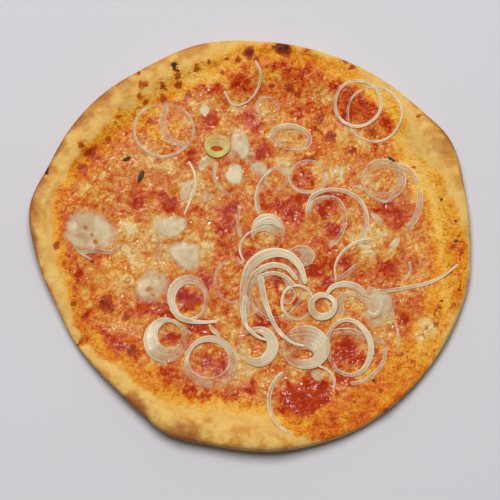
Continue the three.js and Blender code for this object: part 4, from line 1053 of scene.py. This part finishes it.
# Lines, clearness and skins from what each slice carries: how far across it a point is, how wide, how
# clear and how high it is there, which way it leans and where it is stained
def makeOnionMaterial(name, looks):
    material, tree, shader, place = newMaterial(name)
    across, wide, clear, lift, lean, stain = [
        fieldNode(tree, key) for key in ("across", "wide", "clear", "lift", "lean", "stain")]
    speckle = useGroup(tree, speckleGroup, {"Vector": place, "Scale": 0.8})
    cloudy = easeNode(speckle["Patches"], 0.36, 0.64)
    leaning = across * lean
    bent = across * wide * 1.1 + speckle["Patches"] * 5.0
    graded = easeNode(speckle["Grain"], 0.3, 0.6, 0.4, 1.0) * looks["lines"]
    lines = (calc("SINE", bent) + 1.0) * 0.5 * graded
    lopsided = (noiseNode(place, 36.0, 1.0, 0.5) - 0.5) * across * 3.0
    toEdge = (1.0 - calc("ABSOLUTE", across)) * (wide * 0.5)
    bright = (0.65 + lopsided + leaning * 0.7).clamped()
    skin = easeNode(toEdge, *looks["skinWide"]) * bright * looks["edge"]
    thin = 0.3 * looks["thin"] + cloudy * (0.5 * looks["thin"])
    thin = (clear * (thin - lines * 0.4)).clamped()
    color = mixColors(lines, looks["flesh"], looks["skin"])
    color = mixColors(thin, color, looks["hollow"])
    color = mixColors(skin, color, looks["skin"])
    color = mixColors(easeNode(stain, 0.15, 0.7), color, looks["stain"])
    lost = (looks["clear"] - looks["cloud"] / 2) + cloudy * looks["cloud"] - lines * 0.5 - leaning * 0.3
    body = (looks["body"] - (lost * clear).clamped()).clamped()
    body = (body + skin * (1.0 - clear * 0.4) * looks["skinBody"]).clamped()
    body = (body * easeNode(lift, 0.1, 0.55)).clamped()
    if looks["fade"]:
        ragged = across + (speckle["Patches"] - 0.4) * 0.5
        body = (body * easeNode(ragged, *looks["fade"])).clamped()
    setInputs(shader, {"Base Color": color, "Alpha": body,
                       "Roughness": easeNode(speckle["Grain"], 0.3, 0.7, 0.25, 0.45),
                       "Normal": bumpNode(lines + speckle["Patches"], 0.45, 0.0006)})
    setInputs(shader, onionFinish)
    return material


onionMaterial = makeOnionMaterial("cookedOnion", sliceLooks)
heartMaterial = makeOnionMaterial("onionHeart", heartLooks)
petalMaterial = makeOnionMaterial("onionPetal", petalLooks)

# Orange and brown stains on the petals, read off the photograph as the patches above are
stains = [
    (86, 229, 1.6, 0.9), (93, 236, 1.9, 0.7), (96, 243, 2.4, 0.8), (90, 253, 2.2, 0.6), (108, 212, 4, 0.5),
    (150, 289, 1.9, 0.7), (154, 296, 1.5, 0.8), (146, 276, 4, 0.3), (243, 150, 2, 0.3), (380, 318, 4, 0.5)]

# Petals: middle, half length, half width and turn in degrees, height, how clear
petals = [
    (-115.6, 9.9, 20, 18.5, 20, 3.2, (0.1, 0.8, 205)), (-56, 13.6, 11.4, 9.6, 0, 2.6, (0.1, 0.6, 170)),
    (-46.4, -6.6, 14, 12.6, 0, 2.8, (0.0, 0.6, 0)), (-70, -28.5, 16.5, 13.4, 10, 2.6, (0.2, 0.9, 30)),
    (-32.8, 98.2, 6, 4, 80, 1.8, 0.1), (-6.8, 73.4, 14, 7.6, 95, 2.6, (0.1, 0.7, 100)),
    (-11.2, 52.1, 8.8, 7.6, 80, 2.4, 0.1), (6.7, 55.8, 8, 6, 100, 2.4, 0.6),
    (-32.8, 60.2, 9, 4.5, 45, 2.2, 0.6), (-46.4, 39, 9.5, 4.5, 75, 2.2, 0.5),
    (104, 1.8, 6.5, 3.2, 55, 1.8, 0.4), (91, 20, 7.5, 3.2, -35, 1.8, 0.6), (47.9, -93.8, 6, 5, 0, 2, 0.8),
    (91.8, -44.9, 17, 11, 85, 2.4, (0.3, 0.9, 200))]

heartRing = "05"

# Rings: middle, half axes of the outer oval and of the hole, shift of the hole, turn, height, how
# clear, and whether its skin shows more at the outer side (1), at the hole (-1) or at both (0)
rings = [
    (-62.3, 84.3, (22.3, 20.1), (20.3, 18.1), (0, 0), 0, 1.6, (0.55, 0.85, 60), 0),
    (89.3, 95.6, (20.5, 20.8), (18.7, 19), (0, 0), 0, 1.6, (0.3, 0.8, 180), 0),
    (77.4, 103.3, (17.8, 17.7), (15.4, 15.3), (0, 0), 0, 1.8, (0.2, 0.5, 120), 0),
    (29.2, 79.2, (15.7, 9.7), (11.3, 5.3), (0, 0), -10, 1.6, (0.5, 0.95, -90), 0.6),
    (-23.8, 72.6, (9.5, 8.8), (4.1, 1.7), (-0.2, -2.4), 0, 3.2, (0.0, 1, 90), 0),
    (41.4, 50, (14.3, 12.6), (11.8, 10.1), (0, 0), 0, 1.5, (0.5, 0.95, 80), 0.5),
    (96, 47.8, (16.2, 15.7), (9.8, 9.3), (0, 0), 0, 1.8, (0.6, 0.95, 200), 0.5),
    (-60.8, -69, (15.8, 16.6), (8.4, 9.4), (3, 3.6), 0, 2.2, (0.05, 0.9, -20), 0),
    (-28.4, -85, (19, 19.7), (14.2, 12.8), (-1.2, 2), 0, 2.2, (0.2, 0.85, -80), -0.3),
    (-44.6, -38, (14.9, 17), (10.4, 12.2), (1.4, -2), 0, 2, (0.1, 0.7, 10), -0.5),
    (5.4, -73.4, (15, 14.6), (9.5, 9), (-3, 1), 0, 2.4, (0.0, 0.9, 180), 0),
    (40, -74, (17.3, 16), (7.2, 3.6), (-2, -5), 0, 2.4, (0.05, 0.9, 165), 0.4),
    (33.5, -41.2, (12.1, 13.1), (9.9, 10.9), (0, 0), 0, 1.6, (0.1, 0.75, -40), 0.5),
    (27.7, -36.9, (4.6, 6.4), (2.8, 4.6), (0, 0), -20, 1.6, 0.7, 0.5),
    (71, -74, (17.3, 21.5), (13.6, 18.4), (-0.8, 0), 8, 2.2, (0.05, 0.8, 200), 0),
    (51.8, -44.4, (10.6, 10.3), (6.1, 5.4), (0.5, 0.8), 0, 3, (0.0, 0.3, 180), 0),
    (12.6, 9.9, (12, 13.6), (7, 5.4), (-3.2, -5), 0, 1.6, (0.2, 0.95, -50), 0.6),
    (36.4, -7.7, (9.8, 7.8), (2, 1.6), (-2.6, 0.5), 0, 2, (0.5, 0.85, 180), 0.5)]

# Strands: width, how clear, side at which the skin shows more, points along the middle line
strands = [
    (4.8, 0.65, 0, [(-60.6, 102.6), (-63, 89.4), (-58.7, 77.7), (-47.2, 73)]),
    ((2, 1.8, 1.4), 0.5, 0, [(3.2, 134.7), (7.6, 125.2), (4.7, 112.8), (-2.5, 104.8), (-11.9, 102.6),
                             (-19, 112.8)]),
    ((1.4, 2.4, 1.2), 0.2, 0, [(-44.3, 61.7), (-40, 52), (-39.6, 42.7), (-42.8, 33.8), (-47.6, 22.3)]),
    ((2.4, 3.2, 3.4), 0.5, -1, [(15.5, 55.1), (8.3, 47.1), (4.7, 35.4), (6.1, 23.7)]),
    (4.6, 0.6, 0.5, [(104.8, 59.5), (114.8, 53.7), (120.6, 44.2)]),
    (4.6, 0.6, 0.5, [(121.3, 41.2), (122, 32.5), (118.4, 20), (112, 10.6)]),
    (3.2, 0.4, 0.8, [(40.7, 24.5), (44.3, 34.7), (53.6, 39.8), (65.9, 39.8), (76.7, 34.7), (83.2, 23.7),
                     (83.2, 13.5), (79.6, 4.7)]),
    (3.5, 0.7, 0.8, [(41.4, 23), (45, 30.3), (53.6, 34.4), (62.3, 33.2), (67.3, 24.5), (67.3, 15), (63, 5.5),
                     (55.8, -0.4)]),
    ((3.4, 2.4, 1.4), 0.4, -0.6, [(87.5, 4), (76, 1.8), (66.6, -4.7), (60.8, -15.7), (61.6, -25.2)]),
    ((2.4, 4, 3.4), 0.75, 0, [(59.4, -25.9), (68, -21.5), (77.4, -13.5)]),
    (3.4, 0.4, 0.5, [(1, -28.1), (8.3, -22.4), (17.6, -20.4), (26.3, -24), (31.3, -30.3)]),
    ((3.4, 8.2, 4), (0.0, 0.5, -150), 0.3, [(-4.3, -58), (-5.2, -42), (-3.6, -25), (1, -14), (9, -7.4),
                                            (18.6, -5), (28, -7.4), (35, -14.6), (39.6, -28)]),
    ((3, 5, 3), (0.2, 0.6, -150), 0, [(-2, -52.2), (-1.8, -37.6), (4, -20.6), (14.8, -14.4), (25.6, -16.4),
                                      (33.4, -25)]),
    ((5.4, 3.4, 2), 0.25, 0, [(7, -22), (9, -34), (12.4, -46), (17, -57), (23.6, -66), (32, -71.6),
                              (38.4, -73)]),
    ((3.6, 3, 1.8), 0.25, 0, [(-3.2, -36.1), (-4.7, -47.8), (-2.5, -58.8), (4.7, -66), (11.2, -69)]),
    ((2.4, 6, 3), 0.15, 0, [(2.5, 13), (8.3, 17), (16.2, 17.6), (22.4, 13)]),
    ((1.4, 2.4, 1.4), 0.5, 0.8, [(-4.4, -12.4), (-7.4, -2.4), (-3.2, 6.9), (4.7, 11.8)]),
    ((3, 5.4, 3.6), (0.1, 0.5, -60), 0, [(54.4, -36.1), (58.7, -30.4), (66.6, -28), (76, -30),
                                         (83.2, -36.9)]),
    (3.4, 0.7, 0, [(64.4, -33.2), (65.2, -42), (65.9, -50)]),
    ((1.8, 3.4, 2.4), 0.3, 0, [(84.6, -47.8), (88.9, -50.7), (93.2, -47.1), (94, -40.5)]),
    (2.8, 0.5, 0, [(96.8, -74.6), (95.4, -83.6), (88.2, -93.1), (79.6, -98.6), (71.6, -100.1)]),
    ((3, 3.4, 2), 0.45, -0.6, [(24, -91.6), (16.2, -100.4), (13.3, -111.3), (15.5, -123), (21.2, -131.8),
                               (28.4, -136.9)]),
    (1.8, 0.4, 0.5, [(48.6, -87.2), (55.8, -90.9), (60, -98.2), (59.4, -104)]),
    ((1.8, 3.4, 2), 0.4, 0, [(-29.6, -57.3), (-26, -62.1), (-22, -65.8)]),
    ((2, 3.2, 2), (0.1, 0.4, 180), 0, [(-57.5, -45.4), (-50.8, -52.9), (-40, -55.4), (-32.8, -55.8),
                                       (-23.4, -55.1)]),
    ((3.4, 3, 1.6), (0.25, 0.5, 180), 0, [(87.5, -33.9), (100.4, -32.5), (114.8, -30.3), (127.8, -27.4),
                                          (138.6, -22.3), (148.7, -14.2)])]

# Slices that have sunk into the cheese and only just show
sunkRings = [
    (12.6, 101, (9, 9), (6.5, 6.5), (0, 0), 0, 1.5), (-13.3, -25.9, (13, 17), (10.8, 14.8), (0, 0), 0, 1.4),
    (18.4, 48.5, (9.4, 8.8), (7.2, 6.6), (0, 0), 0, 1.4), (19.8, -33.2, (18, 21), (15, 18), (0, 0), 0, 1.5)]
sunkPetals = [(-31, 34.7, 9, 5, 0, 1.8), (93.2, -69, 4, 3, 0, 1.6), (25, 56, 6, 8.5, 0, 1.6),
              (1.2, 61.5, 10, 4.4, 98, 2.5), (-12, 66, 7.5, 6, 60, 2.5)]
sunkStrands = [
    (5.5, [(51.5, -69.7), (58.7, -64.2), (70.2, -62.4), (81.7, -66.8)]),
    (2, [(71.6, 44.2), (80.3, 42), (88.9, 35.4), (96.1, 31.8), (106.2, 36.9)]),
    (1.8, [(104, -55.8), (106.2, -66.8), (105.5, -78.5)]),
    (2.2, [(-61.6, -52.2), (-50.8, -57.3), (-42, -63.9)]),
    (2.4, [(-67.3, 19.3), (-65.2, 4.7), (-65.9, -11.3)]),
    (3.4, [(-122.8, -6.2), (-110.5, -4), (-99.7, -4.7), (-93.2, 1.8)]),
    (1.8, [(114.1, -11.3), (114.8, -17.9), (111.2, -25.2)]),
    (2.4, [(-24.1, 61), (-25.6, 50), (-21.2, 41.2), (-13.3, 35.4)]),
    (3, [(8.3, -33.2), (9.7, -25.2), (15.5, -20.8), (22.0, -21.5), (26.3, -26.6), (28.4, -33.2)]),
    (3, [(-0.4, -36.9), (1.1, -42.7), (5.4, -48.5), (11.2, -52.6), (17.6, -54.4)]),
    (2, [(-125.6, 12.8), (-126.4, 4.7), (-123.5, -4.0), (-114.1, -10.6)]),
    (2, [(-71.6, -78.5), (-65.9, -83.6), (-59.4, -87.2)]),
    (2.4, [(-7.6, 29.6), (-9.0, 17.9), (-6.8, 6.2)]),
    (5, [(83.9, -31), (93.2, -36.9), (99.7, -46.4), (101.2, -55.1)]),
    (3.4, [(62.3, -48.5), (64.4, -37.6), (73.1, -35.4), (83.9, -42)]),
    (3.4, [(88.2, -66.8), (92.6, -69.4), (96.8, -71.2)])]

for i, (x, y, long, wide, turn, high) in enumerate(sunkPetals):
    layPetal(f"sunk_petal_{i + 1:02d}", x, y, long, wide, turn, high, petalMaterial, sink=1.1, clear=0.9)
for i, row in enumerate(sunkRings):
    layOnion(f"sunk_ring_{i + 1:02d}", *ringLines(*row), onionMaterial, "onion", sink=0.9, clear=0.9)
for i, (wide, path) in enumerate(sunkStrands):
    lines = strandLines(wide, path, 1.4)
    layOnion(f"sunk_strand_{i + 1:02d}", *lines, onionMaterial, "onion", sink=0.7, clear=0.7)
for i, (x, y, long, wide, turn, high, clear) in enumerate(petals):
    number = f"{i + 1:02d}"
    layPetal("petal_" + number, x, y, long, wide, turn, high, petalMaterial, "onion_petal_" + number,
             clear=clear)
for i, row in enumerate(rings):
    number = f"{i + 1:02d}"
    heart = number == heartRing
    layOnion("ring_" + number, *ringLines(*row[:7]), heartMaterial if heart else onionMaterial,
             "onion_heart" if heart else "onion", "onion_ring_" + number, clear=row[7], lean=row[8])
for i, (wide, clear, lean, path) in enumerate(strands):
    number = f"{i + 1:02d}"
    lines = strandLines(wide, path, onionShape["strandHigh"])
    layOnion("strand_" + number, *lines, onionMaterial, "onion", "onion_strand_" + number,
             clear=clear, lean=lean)
print("onion laid")

# Middle, length, width and turn of each flake
herbs = [
    (-88.9, 63.1, 6.2, 3.2, 25), (-78.8, 50, 10, 3.4, 68), (101.5, 63, 6.5, 2, -35),
    (-113.4, -12, 2.6, 1.6, 10), (88.2, -97.5, 2.6, 1.6, 50), (137.2, 33.2, 2.4, 1.5, 30),
    (147.2, 17.2, 2.6, 1.6, -20), (147.9, 2.6, 2.8, 1.5, 70), (137.2, -40.5, 2.4, 1.6, 0)]
herbLooks = dict(dark=(34, 36, 26), lighter=(66, 66, 40), thick=0.8, rough=0.6)


# Nearly black leaf with a lighter grain
def makeHerbMaterial():
    material, tree, shader, place = newMaterial("driedHerb")
    speckle = useGroup(tree, speckleGroup, {"Vector": place, "Scale": 1.6})
    grain = speckle["Grain"]
    color = mixColors(easeNode(grain, 0.4, 0.7), herbLooks["dark"], herbLooks["lighter"])
    setInputs(shader, {"Base Color": color, "Normal": bumpNode(grain, 0.6, 0.0004),
                       "Roughness": easeNode(grain, 0.3, 0.7, 0.4, herbLooks["rough"])})
    return material


# All flakes in one mesh: each is a crumpled lens, a polar grid whose outline is ragged
def makeHerbs():
    ringCount, sides = 5, 18
    side = np.linspace(0, 2 * np.pi, sides, endpoint=False)[:, None]
    share = np.concatenate([np.linspace(0.25, 1, ringCount), np.linspace(0.8, 0.3, 3)])[None, :]
    upper = np.concatenate([np.ones(ringCount), np.zeros(3)])[None, :]
    allPoints, faceSets, start = [], [], 0
    for x, y, long, wide, turn in herbs:
        ragged = 1 + 0.22 * lumps(4 * np.cos(side) + x, 4 * np.sin(side) + y, 1.4)
        along = share * ragged * long / 2 * np.cos(side)
        aside = share * ragged * wide / 2 * np.sin(side) + 0.12 * long * (along / long) ** 2
        px, py = turned(x, y, along, aside, turn)
        rest = groundAt(px, py).max() - 0.35
        crumple = 0.25 * lumps(px, py, 1.7)
        z = rest + upper * herbLooks["thick"] * np.sqrt(np.clip(1.05 - share ** 2, 0, 1)) + crumple
        points = np.vstack([np.stack([px, py, z], -1).reshape(-1, 3),
                            [[x, y, rest + herbLooks["thick"]], [x, y, rest - 0.1]]])
        faceSets += turnedFaces(*z.shape, start=start)
        allPoints.append(points)
        start += len(points)
    piece = makePiece("herb_flakes", np.vstack(allPoints), faceSets, {}, makeHerbMaterial())
    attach(piece, "root")


makeHerbs()
print("herb flakes made")

studio = dict(floor=(213, 211, 215), floorCloud=(220, 218, 222), reach=4.0, camera=4.2, lens=421.5,
              elevation=80.5, target=(-0.0002, -0.003, 0.006), sky=0.2, zenith=0.7, nearSide=0.55,
              lights=[dict(name="softLight", place=(-0.15, 0.92, 2.86), power=81.5, size=1.7, glossy=False),
                      dict(name="glintLight", place=(-0.3, 0.95, 2.05), power=22.0, size=0.3, glossy=True)])


# A pale floor, a soft sky, the lights and the camera
def makeStudio():
    size = studio["reach"]
    corners = np.array([(-size, -size, 0), (size, -size, 0), (size, size, 0), (-size, size, 0)]) / mm
    material, tree, shader, place = newMaterial("paleFloor")
    clouds = noiseNode(place, 2.0, 2.0, 0.5) * 0.1
    color = mixColors(clouds, studio["floor"], studio["floorCloud"])
    setInputs(shader, {"Base Color": color, "Roughness": 0.8, "Specular IOR Level": 0.2})
    floor = makePiece("floor", corners, [np.array([[0, 1, 2, 3]])], {}, material)
    # The sky is dim overhead, so that wet tops stay deep, and on the near side
    world = bpy.data.worlds.new("studioSky")
    bpy.context.scene.world = world
    world.use_nodes = True
    tree = world.node_tree
    way = wiresOf(addNode(tree, "ShaderNodeTexCoord"))["Generated"]
    parts = wiresOf(addNode(tree, "ShaderNodeSeparateXYZ", {"Vector": way}))
    level = easeNode(parts["Z"], 0.35, 1.0, 1.0, studio["zenith"])
    level = level * easeNode(parts["Y"], -0.8, 0.8, 1 - studio["nearSide"], 1 + studio["nearSide"])
    setInputs(tree.nodes["Background"], {"Color": (1.0, 1.0, 1.0, 1.0), "Strength": level * studio["sky"]})
    for row in studio["lights"]:
        light = bpy.data.lights.new(row["name"], "AREA")
        light.energy = row["power"]
        light.size = row["size"]
        lamp = bpy.data.objects.new(row["name"], light)
        lamp.visible_glossy = row["glossy"]
        lamp.visible_diffuse = not row["glossy"]
        bpy.context.scene.collection.objects.link(lamp)
        lamp.location = row["place"]
        lamp.rotation_euler = (-lamp.location).to_track_quat("-Z", "Y").to_euler()
    camera = bpy.data.cameras.new("camera")
    camera.lens = studio["lens"]
    camera.sensor_width = 36
    eye = bpy.data.objects.new("camera", camera)
    bpy.context.scene.collection.objects.link(eye)
    rise = math.radians(studio["elevation"])
    target = np.array(studio["target"])
    eye.location = target + studio["camera"] * np.array([0, -math.cos(rise), math.sin(rise)])
    eye.rotation_euler = (math.pi / 2 - rise, 0, 0)
    camera.clip_end = 20
    bpy.context.scene.camera = eye
    bpy.context.scene.view_settings.view_transform = "Standard"


makeStudio()
print("floor, light and camera made")

bpy.context.view_layer.update()
